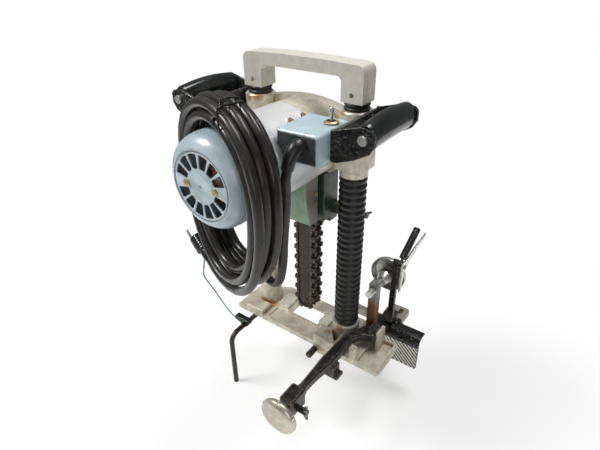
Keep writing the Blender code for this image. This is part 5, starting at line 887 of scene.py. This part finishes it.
# Studio
@dataclass
class Studio:
    """The camera at the photograph's angle, soft lamps and a pale floor."""

    lens: float = 27.69
    place: Place = (0.3137, -0.4412, 0.4995)
    azimuth: float = math.radians(36.34)
    elevation: float = math.radians(30.74)
    roll: float = math.radians(0.77)
    floor: float = -0.0903
    floor_half: float = 1.2
    fade: Flat = (0.25, 0.70)
    plain_share: float = 0.5
    floor_tones: tuple[Colour, Colour] = ((0.93, 0.93, 0.93), (0.95, 0.95, 0.95))
    room_light: float = 0.20
    aim: Place = (0.0, 0.0, 0.2)
    lamps: tuple[tuple[str, Place, float, float], ...] = (
        ("key", (-1.1, -0.9, 1.9), 0.7, 48),
        ("fill", (1.5, -1.6, 0.8), 1.0, 7),
        ("top", (0.3, 0.5, 2.0), 0.8, 24),
    )

    def camera(self) -> None:
        """Set the camera up."""
        data = bpy.data.cameras.new("camera")
        data.lens = self.lens
        data.sensor_width = 36.0
        data.clip_start = 0.01
        flat = math.cos(self.elevation)
        across, deep = -math.sin(self.azimuth) * flat, math.cos(self.azimuth) * flat
        ahead = Vector((across, deep, -math.sin(self.elevation)))
        right = ahead.cross(Vector((0, 0, 1))).normalized()
        down = ahead.cross(right)
        side = right * math.cos(self.roll) + down * math.sin(self.roll)
        below = down * math.cos(self.roll) - right * math.sin(self.roll)
        matrix = Matrix((side, -below, -ahead)).transposed().to_4x4()
        obj = bpy.data.objects.new("camera", data)
        obj.matrix_world = Matrix.Translation(self.place) @ matrix
        bpy.context.scene.collection.objects.link(obj)
        bpy.context.scene.camera = obj

    def lamp(self, name: str, place: Place, size: float, power: float) -> None:
        """Hang a square soft lamp that faces the machine."""
        data = bpy.data.lights.new(name, "AREA")
        data.size = size
        data.energy = power
        obj = bpy.data.objects.new(name, data)
        obj.location = place
        obj.rotation_mode = "QUATERNION"
        obj.rotation_quaternion = (Vector(place) - Vector(self.aim)).to_track_quat("Z", "Y")
        bpy.context.scene.collection.objects.link(obj)

    def world(self) -> None:
        """Light the room evenly, and show it white behind the machine."""
        graph = Graph(bpy.data.worlds.new("room"), "Background")
        bpy.context.scene.world = graph.owner
        seen, through = (
            graph.node("ShaderNodeLightPath", output=name) for name in ("Is Camera Ray",
                "Is Transmission Ray")
        )
        either = graph.node("ShaderNodeMath", {"operation": "MAXIMUM"}, {0: seen, 1: through})
        values = {"Value": either, "To Min": self.room_light, "To Max": 1.0}
        graph.feed(graph.shader.inputs["Color"], (1.0, 1.0, 1.0))
        graph.feed(graph.shader.inputs["Strength"], graph.node("ShaderNodeMapRange", values=values))

    def ground(self) -> None:
        """Lay the pale floor."""
        builder = bmesh.new()
        bmesh.ops.create_circle(builder, cap_ends=True, segments=96, radius=self.floor_half)
        bmesh.ops.translate(builder, verts=builder.verts, vec=(0, 0, self.floor))
        obj = linked("floor", builder)
        graph = Graph(bpy.data.materials.new("pale floor"))
        reach = graph.node("ShaderNodeVectorMath", {"operation": "LENGTH"}, {0: graph.place()}, "Value")
        seen = graph.node("ShaderNodeLightPath", output="Is Camera Ray")
        share = seen * (reach.above(*self.fade) * (1 - self.plain_share) + self.plain_share)
        white = graph.node("ShaderNodeEmission", values={"Color": (1.0, 1.0, 1.0)})
        surface = Value(graph, graph.shader.outputs[0])
        mixed = graph.node("ShaderNodeMixShader", values={0: share, 1: surface, 2: white})
        graph.feed(graph.tree.nodes["Material Output"].inputs["Surface"], mixed)
        graph.feed(graph.shader.inputs["Base Color"], graph.blend(graph.noise(0.3), *self.floor_tones))
        graph.feed(graph.shader.inputs["Roughness"], 0.9)
        obj.data.materials.append(graph.owner)

    def build(self) -> None:
        """Set up the whole studio."""
        self.camera()
        for lamp in self.lamps:
            self.lamp(*lamp)
        self.world()
        self.ground()
        bpy.context.scene.view_settings.view_transform = "Standard"


# Power cord
@dataclass
class PowerCord:
    """The cord: boot, free tail, coil over the motor, ties, plug and earth lead."""

    body: str = "head"
    radius: float = 0.0052
    boot_face: Place = (0.0665, -0.1043, 0.3395)
    boot_route: tuple[Place, ...] = (
        (0.0, -0.0019, 0.0),
        (0.0, -0.0060, -0.0012),
        (-0.0012, -0.0112, -0.0060),
        (-0.0020, -0.0148, -0.0126),
        (-0.0027, -0.0165, -0.0200),
    )
    boot_points: int = 8
    boot_root: float = 0.0082
    boot_tip: float = 0.0063
    flange: Flat = (0.0095, 0.0022)
    tail_route: tuple[Place, ...] = (
        (0.0622, -0.1218, 0.2980),
        (0.0600, -0.1212, 0.2700),
        (0.0560, -0.1202, 0.2380),
        (0.0530, -0.1198, 0.2050),
        (0.0470, -0.1195, 0.1790),
        (0.0365, -0.1190, 0.1715),
        (0.0220, -0.1185, 0.1770),
    )
    pitch: float = 0.0118
    layer: float = 0.0130
    centre_y: float = -0.1355
    lean: float = math.radians(18)
    layers: int = 4
    turns_per_layer: float = 2.0
    first_turns: float = 1.065
    climb_turns: float = 0.5
    start_share: float = 0.5
    loop_shape: tuple[Flat, ...] = (
        (0.0, 0.0595),
        (0.0300, 0.0515),
        (0.0520, 0.0297),
        (0.0602, 0.0),
        (0.0590, -0.0320),
        (0.0495, -0.0650),
        (0.0340, -0.0900),
        (0.0130, -0.1045),
        (-0.0090, -0.1070),
        (-0.0290, -0.0980),
        (-0.0450, -0.0760),
        (-0.0550, -0.0430),
        (-0.0590, -0.0080),
        (-0.0520, 0.0297),
        (-0.0300, 0.0515),
    )
    tie_places: Flat = (0.0180, 0.0275)
    tie_radius: float = 0.0009
    tie_reach: float = 0.0022
    tie_points: int = 60
    tie_sway: float = 0.0016
    twist_steps: int = 23
    twist_turn: float = 1.1
    twist_rise: float = 0.0002
    twist_radius: float = 0.0010
    twist_spread: float = 1.6
    twist_thinness: float = 0.8
    plug_ridges: int = 6
    earth_route: tuple[Place, ...] = (
        (-0.0533, -0.13765, 0.1861),
        (-0.0562, -0.1380, 0.1700),
        (-0.0590, -0.1380, 0.1500),
        (-0.0615, -0.1220, 0.1150),
        (-0.0640, -0.1000, 0.0650),
        (-0.0660, -0.0790, 0.0270),
    )
    earth_radius: float = 0.0009
    clip_end: Place = (-0.07525, -0.0673, 0.0146)

    def loop(self) -> list[Vector]:
        """Give the coil's inner loop as fine points, from the top down the right side."""
        shape = [Vector((*place, 0.0)) for place in self.loop_shape]
        count = len(shape)
        fine = []
        for index in range(count):
            ends = [shape[(index + shift) % count] for shift in range(-1, 3)]
            fine += [curve_point(*ends, step / FINE_STEPS) for step in range(FINE_STEPS)]
        fine.append(fine[0])
        return spaced(fine, count * FINE_STEPS + 1)[:-1]

    def stood(self, across: float, depth: float, up: float) -> Vector:
        """Take a point of the coil to its leaning place."""
        return Vector(
            (across * math.cos(self.lean), depth - across * math.sin(self.lean) + self.centre_y,
                up + MOTOR_Z)
        )

    def coil(self, per_loop: int) -> list[Vector]:
        """List the coil's points, spiralling out and in and climbing a layer where that turns round."""
        curve = self.loop()
        count = len(curve)
        total = self.first_turns + self.turns_per_layer * (self.layers - 1)
        steps = round(total * per_loop)
        points = []
        for step in range(steps + 1):
            turns = total * step / steps
            since = (turns - self.first_turns) / self.turns_per_layer
            offset = self.turns_per_layer * abs((since + 1) % 2 - 1) * self.pitch
            layer = 0.0
            for change in range(self.layers - 1):
                middle = self.first_turns + self.turns_per_layer * change
                layer += min(max((turns - middle) / self.climb_turns + 0.5, 0.0), 1.0)
            place = (self.start_share + turns) % 1 * count
            index = int(place)
            here = curve[index % count].lerp(curve[(index + 1) % count], place - index)
            tangent = (curve[(index + 1) % count] - curve[index - 1]).normalized()
            depth = ((self.layers - 1) * 0.5 - layer) * self.layer
            points.append(self.stood(here.x - tangent.y * offset, depth, here.y + tangent.x * offset))
        return points

    def boot(self) -> list[Vector]:
        """Build the rubber boot with its flange, and give its middle line."""
        face = Vector(self.boot_face)
        line = smooth_path([face + Vector(place) for place in self.boot_route], self.boot_points)
        radius, length = self.flange
        depths = (0.0, -0.0003, 0.0001 - length, -length)
        fine = [face + Vector((0, depth, 0)) for depth in depths]
        radii = [radius - 0.0003, radius, radius, self.boot_root]
        rest = smooth_path([face + Vector((0, -length - 0.0001, 0)), *line[1:]], 46)
        for index, place in enumerate(rest):
            share = index / (len(rest) - 1)
            fine.append(place)
            radii.append(self.boot_root + (self.boot_tip - self.boot_root) * share)
        piece(swept("cord_boot", fine, radii, 40), RUBBER, self.body, "black_rubber", "cord_gland")
        return line

    def plug(self, start: Vector, heading: Vector) -> bpy.types.Object:
        """Build the ridged plug with its prongs."""
        profile = [(0.0058, 0.0), (0.0062, 0.0012), (0.0062, 0.011), (0.0072, 0.0118)]
        for index in range(self.plug_ridges):
            low = 0.0125 + index * 0.0034
            profile += [(0.0079, low), (0.0089, low + 0.0008), (0.0089, low + 0.0022),
                (0.0079, low + 0.0030)]
        profile += [(0.0088, 0.0332), (0.0080, 0.0340)]
        shape = turned("mains_plug", profile, (0, 0, 0), Axis.Z, 48)
        for side in (-0.0064, 0.0064):
            prong = softened(block("prong", (side - 0.0008, -0.003, 0.033), (side + 0.0008, 0.003, 0.047)),
                0.0004)
            shape = carved(shape, [prong], "UNION")
        turn = heading.to_track_quat("Z", "Y").to_matrix().to_4x4()
        shape.data.transform(Matrix.Translation(start) @ turn)
        return piece(shape, PLASTIC, self.body, "black_plastic", "plug")

    def ties(self) -> list[bpy.types.Object]:
        """Bend the twisted wire ties round the coil's top."""
        made = []
        for number, across in enumerate(self.tie_places):
            line = [self.stood(across + side, depth, up) for side, depth, up in self.hug(across)]
            nodes = ("cord_tie",) if number == 0 else ()
            shape = wire(f"wire_tie_{number + 1}", line, self.tie_radius, True)
            made.append(piece(shape, PLASTIC, self.body, "black_plastic", *nodes))
        for number, across in enumerate(self.tie_places):
            side, depth, up = min(self.hug(across), key=lambda place: place[1] - place[2])
            ends = []
            for turn in range(self.twist_steps):
                out = self.twist_rise * turn
                swing, rise = circle(self.twist_radius, (0.0, 0.0), 1, turn * self.twist_turn)[0]
                aside = across + side + swing + out * self.twist_spread
                ends.append(self.stood(aside, depth - out, up + rise + out))
            shape = wire(f"tie_ends_{number + 1}", ends, self.tie_radius * self.twist_thinness)
            made.append(piece(shape, PLASTIC, self.body, "black_plastic"))
        return made

    def hug(self, across: float) -> list[Place]:
        """Wrap a line closely round the coil's top strands.

        Args:
            across: where the tie sits across the coil.

        Returns:
            Its points, as a lean across, a depth and a height.
        """
        flat = Matrix.Rotation(self.lean, 4, "Z") @ Matrix.Translation((0, -self.centre_y, -MOTOR_Z))
        reach = self.radius + self.tie_radius + GAP
        spots = []
        for place in self.coil(80):
            point = flat @ place
            if abs(point.x - across) < self.tie_reach and point.z > 0:
                spots += circle(reach, (point.y, point.z), 16)
        edge = outline_of(spots)
        line = spaced([Vector((0, *spot)) for spot in [*edge, edge[0]]], self.tie_points)[:-1]
        sways = [self.tie_sway * math.sin(index * TURN / len(line) * 2) for index in range(len(line))]
        return [(sway, place.y, place.z) for sway, place in zip(sways, line)]

    def build(self) -> None:
        line = self.boot()
        heading_out = (line[-1] - line[-2]).normalized()
        rough = self.coil(24)
        heading = (rough[1] - rough[0]).normalized()
        leave = line[-1] + heading_out * GAP
        route = [leave, leave + heading_out * self.radius * 2]
        route += [Vector(place) for place in self.tail_route]
        route += [rough[0] - heading * self.radius * 2, rough[0]]
        path = smooth_path(route, 70)[:-1] + self.coil(40)
        cord = wire("power_cord", path, self.radius)
        piece(cord, SHEATH, self.body, "cord_rubber", "cord_tail", "cord_coil")
        end = (rough[-1] - rough[-2]).normalized()
        plug = self.plug(rough[-1] + end * GAP, end)
        ties = self.ties()
        run_length(path)
        LOG.info("power cord %.2f m", run_length(path))
        self.earth()

    def earth(self) -> None:
        """Lead the thin earth wire from the plug to its clip."""
        end = Vector(self.clip_end)
        route = [Vector(place) for place in self.earth_route] + [end + Vector((0, -self.earth_radius * 2,
            0))]
        path = smooth_path(route, 40) + [end]
        lead = baked(wire("earth_lead", path, self.earth_radius))
        dressed(lead, GREEN_WIRE)
        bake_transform(lead)
        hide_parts("earth_wire")
        run_length(path)


# Motor
@dataclass
class Motor:
    """The barrel with its screw tabs, and the fan cover with its grille."""

    body: str = "head"
    barrel_front: float = -0.112
    barrel_rear: float = -0.0403
    barrel_radius: float = 0.050
    barrel_bore: float = 0.0453
    screw_angle: float = math.radians(55)
    screw_places: tuple[float, float] = (-0.068, -0.046)
    cover_rear: float = -0.1123
    cover_profile: tuple[Flat, ...] = (
        (0.0500, 0.0),
        (0.0506, -0.0015),
        (0.0506, -0.0040),
        (0.0500, -0.0046),
        (0.0503, -0.0060),
        (0.0508, -0.0250),
        (0.0508, -0.0420),
        (0.0504, -0.0465),
        (0.0496, -0.0505),
        (0.0480, -0.0545),
        (0.0457, -0.0574),
        (0.0432, -0.0597),
        (0.0410, -0.0612),
        (0.0395, -0.0621),
        (0.0385, -0.0627),
    )
    face: float = -0.175
    rim_radius: float = 0.0375
    past: float = 0.004
    shell: float = 0.0026
    grille: float = 0.0014
    groove: tuple[float, float, float] = (0.0351, 0.0371, 0.0012)
    slots_per_side: int = 6
    slot_radii: Flat = (0.0186, 0.0336)
    slot_angles: Flat = (math.radians(24), math.radians(156))
    slot_share: float = 0.80
    slot_corner: float = 0.0012

    def barrel(self) -> None:
        """Turn the barrel and raise its screw tabs."""
        front, rear, radius = self.barrel_front, self.barrel_rear, self.barrel_radius
        profile = [
            (radius - 0.0006, front),
            (radius, front + 0.0006),
            (radius, front + 0.0080),
            (radius - 0.0005, front + 0.0085),
            (radius - 0.0005, front + 0.0095),
            (radius, front + 0.0100),
            (radius, rear - 0.0006),
            (radius - 0.0006, rear),
        ]
        shell = turned("barrel", profile, (0, 0, MOTOR_Z), Axis.Y, 96, self.barrel_bore)
        piece(shell, BARREL, self.body, "hammered_paint", "motor_barrel")
        for number, place in enumerate(self.screw_places):
            name = ("barrel_screw_front", "barrel_screw_rear")[number]
            low = (-0.0062, place - 0.0052, radius - 0.0018)
            high = (0.0062, place + 0.0052, radius + 0.0009)
            tab = softened(block("screw_tab", low, high), 0.0012)
            lean = Matrix.Rotation(math.pi / 2 - self.screw_angle, 4, "Y")
            tab.data.transform(Matrix.Translation((0, 0, MOTOR_Z)) @ lean)
            piece(tab, BARREL, self.body, "hammered_paint")
            tab.name = f"screw_tab_{number + 1}"
            kept(name, RUSTY, 0.0003)
        piece(self.end_wall(), DARK_STEEL, self.body, "hammered_paint")

    def end_wall(self) -> bpy.types.Object:
        """Turn the barrel's front wall, seen through the grille."""
        profile = [(0.0450, self.barrel_front + 0.0010), (0.0450, self.barrel_front + 0.0045)]
        return turned("barrel_wall", profile, (0, 0, MOTOR_Z), Axis.Y, 48, 0.0114)

    def slot(self, middle: float, half: float) -> bpy.types.Object:
        """Make the tool that cuts one slot of the grille."""
        inner, outer = self.slot_radii
        corner = self.slot_corner
        outline = []
        for radius, sign, steps in ((inner, 1, 4), (outer, -1, 6)):
            inset = corner / radius
            start = middle - sign * (half - inset)
            end = start + sign * 2 * (half - inset)
            outline += circle(radius, (0, MOTOR_Z), steps, start, end)
            outline.append((radius * math.cos(end), MOTOR_Z + radius * math.sin(end)))
            edge = radius + (corner if radius == inner else -corner)
            turn = middle + sign * half
            outline.append((edge * math.cos(turn), MOTOR_Z + edge * math.sin(turn)))
            other = outer - corner if radius == inner else inner + corner
            outline.append((other * math.cos(turn), MOTOR_Z + other * math.sin(turn)))
        return plate("slot", [outline], Axis.Y, self.face - self.past, self.face + self.past)

    def cover(self) -> None:
        """Turn the fan cover and cut its grille."""
        profile = [(radius, self.cover_rear + along) for radius, along in self.cover_profile]
        inner = [(radius - self.shell, along + self.shell) for radius,
            along in profile if along > self.face + self.past]
        inner[0] = (inner[0][0], self.cover_rear + self.past)
        inner.append((0.0350, self.face + self.grille))
        axis = (0, 0, MOTOR_Z)
        shape = turned("blower_cover", [*profile, (self.rim_radius, self.face)], axis, Axis.Y, 96)
        shape = carved(shape, [turned("room", inner, axis, Axis.Y, 96)])
        low, high, depth = self.groove
        ring = turned("groove", [(high, self.face - self.past), (high, self.face + depth)], axis, Axis.Y,
            96, low)
        shape = carved(shape, [ring])
        pitch = (self.slot_angles[1] - self.slot_angles[0]) / (self.slots_per_side - 1)
        half = pitch * self.slot_share / 2
        tools = []
        for index in range(self.slots_per_side):
            for turn in (0, math.pi):
                tools.append(self.slot(self.slot_angles[0] + pitch * index + turn, half))
        shape = carved(shape, tools)
        centre = turned("dot", [(0.0016, self.face - self.past), (0.0016, self.face + 0.0008)], axis,
            Axis.Y, 20)
        shape = carved(shape, [centre])
        piece(softened(shape, 0.0004, 2), BLUE, self.body, "blue_paint", "fan_cover")
        for name in ("left", "right"):
            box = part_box(f"fan_screw_{name}")
            middle = [(low + high) / 2 for low, high in zip(*box)]
            front, radius = box[0][1], (box[1][0] - box[0][0]) / 2
            dome = [(0.0007, front + 0.0009), (0.0011, front + 0.0002), (radius * 0.55, front),
                (radius * 0.85, front + 0.0003)]
            dome += [(radius, front + 0.0009), (radius, box[1][1])]
            screw = turned(f"cover_screw_{name}", dome, (middle[0], 0, middle[2]), Axis.Y, 32)
            piece(screw, BRASS, self.body, "brass", f"fan_screw_{name}")

    def build(self) -> None:
        """Build the motor's outside and dress its inside."""
        self.barrel()
        self.cover()
        for name in ("field_core", "cooling_fan"):
            kept(name, COPPER)
        for name in ("front_bearing", "rear_bearing", "armature", "drive_sprocket"):
            kept(name, STEEL)


# Head
@dataclass
class Head:
    """The head casting, chain case, switch box, side grips and the chain on its bar."""

    body: str = "head"
    chain_y: float = 0.005
    nose_z: float = 0.050
    link_radius: float = 0.0132
    tooth_radius: float = 0.0171
    links: int = 34
    grip_x: float = 0.1238
    grip_z: float = 0.350
    grip_ends: Flat = (-0.0805, 0.0085)
    grip_radii: Flat = (0.0140, 0.0152)
    grip_squeeze: float = 0.74
    grip_bow: float = 0.0025
    toggle: Place = (0.0765, -0.064, 0.348)

    def chain_place(self, distance: float, offset: float) -> Flat:
        """Give a point of the chain's path at an offset from the bar's middle line."""
        straight = MOTOR_Z - self.nose_z
        bend = math.pi * self.link_radius
        distance %= (straight + bend) * 2
        if distance < straight:
            return offset, self.nose_z + distance
        distance -= straight
        if distance < bend:
            angle = distance / self.link_radius
            return offset * math.cos(angle), MOTOR_Z + offset * math.sin(angle)
        distance -= bend
        if distance < straight:
            return -offset, MOTOR_Z - distance
        angle = (distance - straight) / self.link_radius
        return -offset * math.cos(angle), self.nose_z - offset * math.sin(angle)

    def link(self, start: float, pitch: float, low: float, high: float, tooth: bool) -> bpy.types.Object:
        """Cut one link plate, with a hooked cutting tooth on it or a plain back."""
        inner = self.link_radius - 0.0027
        middle = self.link_radius
        top = self.tooth_radius if tooth else middle + 0.0007
        shape = [(0.06, inner), (0.35, inner + 0.0002), (0.60, inner + 0.0002), (0.94, inner),
            (0.98, middle - 0.0013)]
        shape += [(0.94, middle), (0.84, middle + 0.0003), (0.76, middle - 0.0010), (0.66, middle - 0.0010),
            (0.60, top - 0.0004)]
        shape += [(0.54, top), (0.22, top - 0.0008), (0.26, middle - 0.0004), (0.16, middle + 0.0003),
            (0.06, middle), (0.02, middle - 0.0013)]
        outline = [self.chain_place(start + pitch * share, offset) for share, offset in shape]
        return plate("link", [outline], Axis.Y, low, high)

    def chain(self) -> None:
        """Build the chain of link plates, teeth and rivets round the bar."""
        length = (MOTOR_Z - self.nose_z + math.pi * self.link_radius) * 2
        pitch = length / self.links
        rows = ((-0.0115, -0.0078, 0.0), (-0.0074, -0.0037, 0.5), (-0.0033, 0.0033, 0.0),
            (0.0037, 0.0074, 0.5), (0.0078, 0.0115, 0.0))
        builder = bmesh.new()
        for row, (low, high, phase) in enumerate(rows):
            for index in range(self.links):
                tooth = row != 2 or index % 2 == 0
                made = self.link(pitch * (index + phase), pitch, self.chain_y + low, self.chain_y + high,
                    tooth)
                builder.from_mesh(made.data)
                bpy.data.objects.remove(made)
        for index in range(self.links * 2):
            across, up = self.chain_place(pitch * (index * 0.5 + 0.04), self.link_radius - 0.0011)
            side = 0.01148 if index % 2 == 0 else 0.0076
            made = rod("rivet", (across, self.chain_y - side, up), (across, self.chain_y + side, up),
                0.00085, 10)
            builder.from_mesh(made.data)
            bpy.data.objects.remove(made)
        piece(linked("saw_chain", builder), DARK_STEEL, self.body, "dark_steel", "cutting_chain")

    def grips(self) -> None:
        """Mould the two side grips."""
        for name, side in (("right", 1), ("left", -1)):
            points, radii = [], []
            for index in range(33):
                share = index / 32
                swell = math.sin(math.pi * share)
                front, rear = self.grip_ends
                ease = min(share, 1 - share) / 0.02
                end = max(1 - ease, 0.0) * 0.0011
                up = self.grip_z + self.grip_bow * swell
                points.append(Vector((side * self.grip_x, front + (rear - front) * share, up)))
                radii.append(self.grip_radii[0] + (self.grip_radii[1] - self.grip_radii[0]) * swell - end)
            grip = swept(f"{name}_hand_grip", points, radii, 48, self.grip_squeeze)
            hole = rod("hole", (side * self.grip_x, -0.2, self.grip_z),
                (side * self.grip_x, 0.2, self.grip_z), 0.0033)
            grip = carved(grip, [hole])
            piece(grip, PLASTIC, self.body, "black_plastic", f"{name}_grip")
            kept(f"{name}_bracket", BLACK, 0.0005)
            kept(f"{name}_grip_bolt", BRIGHT, 0.0004)

    def switch(self) -> None:
        """Dress the switch box and turn its bat toggle and nut."""
        kept("switch_box", BOX, 0.0, 2, math.radians(50))
        low = self.toggle[2] + 0.0043
        nut = [(0.0074, low), (0.0078, low + 0.0004), (0.0078, low + 0.0013), (0.0070, low + 0.0020),
            (0.0056, low + 0.0026)]
        nut_obj = turned("toggle_nut", nut, (self.toggle[0], self.toggle[1], 0), Axis.Z, 48, 0.0046)
        piece(nut_obj, BRASS, self.body, "brass", "switch_nut")
        bat = [(0.0012, -0.0034), (0.0040, 0.0), (0.0016, 0.0034), (0.0015, 0.0060), (0.0018, 0.0110),
            (0.0023, 0.0155)]
        bat += [(0.00245, 0.0180), (0.0021, 0.0195), (0.0014, 0.0203), (0.0005, 0.0205)]
        piece(turned("toggle_bat", bat, self.toggle, Axis.Z, 32), BRIGHT, "toggle", "bright_steel",
            "toggle_lever")

    def build(self) -> None:
        """Build and dress the head."""
        kept("head_casting", HAMMERED, 0.0008)
        kept("case_front", GREEN, 0.0006)
        kept("case_rear", DARK_GREEN, 0.0006)
        kept("guide_bar", DARK_STEEL, 0.0008)
        for name in ("case_screw_upper", "case_screw_lower"):
            kept(name, BRASS, 0.0003)
        kept("depth_rod", STEEL)
        kept("depth_wing_screw", FORGED, 0.0003)
        self.chain()
        self.grips()
        self.switch()


# Columns
@dataclass
class Columns:
    """The two columns, the ribbed sleeve, the carry handle and its rubber rings."""

    floor: float = 0.0128
    top: float = 0.3817
    radius: float = 0.011
    ribs: int = 26
    rib_radius: float = 0.0171
    valley_radius: float = 0.0146
    sleeve_bore: float = 0.0140
    sleeve_low: float = 0.0453
    sleeve_high: float = 0.2707
    spring_turns: int = 6
    spring_steps: int = 20
    spring_inset: float = 0.0012
    spring_radius: float = 0.0129
    spring_wire: float = 0.0008
    buffer: Flat = (0.3493, 0.3577)

    def sleeve(self) -> None:
        """Turn the ribbed rubber sleeve and coil the spring inside it."""
        pitch = (self.sleeve_high - self.sleeve_low) / self.ribs
        profile = []
        for index in range(self.ribs):
            for step in range(8):
                share = step / 8
                round_share = math.sin(math.pi * share) ** 0.8
                radius = self.valley_radius + (self.rib_radius - self.valley_radius) * round_share
                profile.append((radius, self.sleeve_low + pitch * (index + share)))
        profile.append((self.valley_radius, self.sleeve_high))
        sleeve = turned("ribbed_sleeve", profile, (COLUMN_X, 0, 0), Axis.Z, 64, self.sleeve_bore)
        dressed(sleeve, RUBBER)
        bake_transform(sleeve)
        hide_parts("bellows")
        points = []
        steps = self.spring_turns * self.spring_steps
        rise = self.sleeve_high - self.sleeve_low - self.spring_inset * 2
        for step in range(steps + 1):
            angle = TURN * step / self.spring_steps
            up = self.sleeve_low + self.spring_inset + rise * step / steps
            across, deep = self.spring_radius * math.cos(angle), self.spring_radius * math.sin(angle)
            points.append(Vector((COLUMN_X + across, deep, up)))
        spring = baked(wire("lift_spring", points, self.spring_wire))
        dressed(spring, STEEL)
        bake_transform(spring)
        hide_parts("return_spring")
        LOG.info("sleeve and spring")

    def build(self) -> None:
        """Build and dress the columns and what is on them."""
        profile = [(self.radius, self.floor), (self.radius, self.top)]
        left = turned("left_post", profile, (-COLUMN_X, 0, 0), Axis.Z, 64)
        piece(left, CREAM, "frame", "column_coating", "left_column")
        right = turned("right_post", profile, (COLUMN_X, 0, 0), Axis.Z, 64)
        piece(right, STEEL, "frame", "worn_steel", "right_column")
        self.sleeve()
        kept("carry_handle", HANDLE, 0.0022, 3)
        for name, side in (("left", -1), ("right", 1)):
            low, high = self.buffer
            rim = [(0.0142, low), (0.0148, low + 0.0006), (0.0148, low + 0.0024), (0.0137, low + 0.0034),
                (0.0137, high - 0.0034)]
            rim += [(0.0148, high - 0.0024), (0.0148, high - 0.0006), (0.0142, high)]
            ring = turned(f"{name}_buffer", rim, (side * COLUMN_X, 0, 0), Axis.Z, 64, self.radius + GAP)
            piece(ring, RUBBER, "frame", "black_rubber", f"{name}_bumper")


# Base
@dataclass
class Base:
    """The base casting with its wear blocks, clamp post, gauge rod and earth clip."""

    def build(self) -> None:
        """Dress the base and what is fixed to it."""
        kept("base_casting", CAST, 0.0007)
        kept("left_wear_block", JAW, 0.0002)
        kept("right_wear_block", JAW, 0.0002)
        kept("vise_post", POST, 0.0006)
        kept("gauge_rod", DARK_STEEL)
        kept("earth_clip", PLASTIC, 0.0004)


# Side lever
@dataclass
class SideLever:
    """The forged lever with its wing screw and domed palm knob."""

    knob_back: float = -0.174
    knob_x: float = 0.087
    knob_z: float = 0.0385
    notches: int = 6
    notch_circle: float = 0.0248
    notch_radius: float = 0.0022

    def build(self) -> None:
        """Build the knob and dress the lever."""
        kept("shift_arm", FORGED, 0.0026, 3)
        kept("arm_wing_screw", FORGED, 0.0003)
        dome = [(0.0048, 0.0258), (0.0048, 0.0010), (0.0090, 0.0), (0.0105, -0.0009), (0.0205, -0.0012),
            (0.0225, -0.0020)]
        dome += [(0.0238, -0.0035), (0.0242, -0.0053), (0.0240, -0.0070), (0.0232, -0.0085),
            (0.0215, -0.0100), (0.0185, -0.0115)]
        dome += [(0.0145, -0.0128), (0.0100, -0.0137), (0.0050, -0.0143), (0.0012, -0.0145)]
        profile = [(radius, self.knob_back + along) for radius, along in dome]
        knob = turned("palm_knob", profile, (self.knob_x, 0, self.knob_z), Axis.Y, 96)
        tools = []
        for index in range(self.notches):
            angle = TURN * (index + 0.5) / self.notches
            across = self.knob_x + self.notch_circle * math.cos(angle)
            up = self.knob_z + self.notch_circle * math.sin(angle)
            start, end = (across, self.knob_back - 0.02, up), (across, self.knob_back + 0.004, up)
            tools.append(rod("notch", start, end, self.notch_radius, 24))
        knob = softened(carved(knob, tools), 0.0004, 2)
        piece(knob, NICKEL, "knob", "bright_steel", "shift_knob")


# Vise
@dataclass
class Vise:
    """The edge clamp: carriage, upright, guide rod, covered jaw, screw with cup wheel, two levers."""

    x: float = 0.100
    z: float = 0.101
    jaw_low: Place = (0.0990, 0.0510, -0.0460)
    jaw_high: Place = (0.1620, 0.0570, 0.0080)
    groove_pitch: float = 0.0070
    groove_width: float = 0.0030
    groove_depth: float = 0.0013
    groove_lean: float = 0.056
    past: float = 0.0010

    def jaw(self) -> None:
        """Mill the slanting grooves across the jaw's face."""
        low, high = self.jaw_low, self.jaw_high
        count = math.ceil((high[0] - low[0] + self.groove_lean) / self.groove_pitch)
        bottom, top = low[2] - self.past, high[2] + self.past
        tools: list[bpy.types.Object] = []
        for index in range(count):
            left = high[0] - self.groove_pitch * (index + 0.7)
            lean, width = self.groove_lean, self.groove_width
            outline = [(left + lean, bottom), (left + lean + width, bottom), (left + width, top),
                (left, top)]
            tools.append(plate("groove", [outline], Axis.Y, low[1] - self.past, low[1] + self.groove_depth))
        shape = carved(block("grooved_jaw", low, high), tools)
        piece(shape, JAW, "vise", "cast_aluminium", "jaw_plate")

    def build(self) -> None:
        """Build the screw's wheel and dress the clamp."""
        kept("vise_carriage", STEEL, 0.0005)
        kept("vise_upright", FORGED, 0.0006)
        kept("guide_rod", DARK_STEEL)
        self.jaw()
        kept("jaw_cover", BLACK, 0.0)
        kept("lock_lever", FORGED, 0.0003)
        kept("release_lever", BRIGHT, 0.0004)
        wheel = [(0.0050, 0.0020), (0.0050, 0.0393), (0.0063, 0.0395), (0.0068, 0.0402), (0.0108, 0.0488),
            (0.0110, 0.0494)]
        wheel += [(0.0050, 0.0496), (0.0050, 0.0580), (0.0100, 0.0580), (0.0106, 0.0600), (0.0112, 0.0622),
            (0.0222, 0.0630)]
        wheel += [(0.0236, 0.0582), (0.0240, 0.0580), (0.0260, 0.0580), (0.0262, 0.0584), (0.0262, 0.0632),
            (0.0250, 0.0658)]
        wheel += [(0.0235, 0.0675), (0.0200, 0.0692), (0.0160, 0.0705), (0.0110, 0.0715), (0.0080, 0.0718),
            (0.0050, 0.0722)]
        shape = turned("clamp_screw", wheel, (self.x, 0, self.z), Axis.Y, 72)
        piece(shape, BRIGHT, "spindle", "bright_steel", "vise_screw")


def main() -> None:
    """Build every sub-assembly in order."""
    builders: Sequence[Callable[[], None]] = (
        Studio().build,
        PowerCord().build,
        Motor().build,
        Head().build,
        Columns().build,
        Base().build,
        SideLever().build,
        Vise().build,
    )
    for build in builders:
        build()


if __name__ == "__main__":
    main()
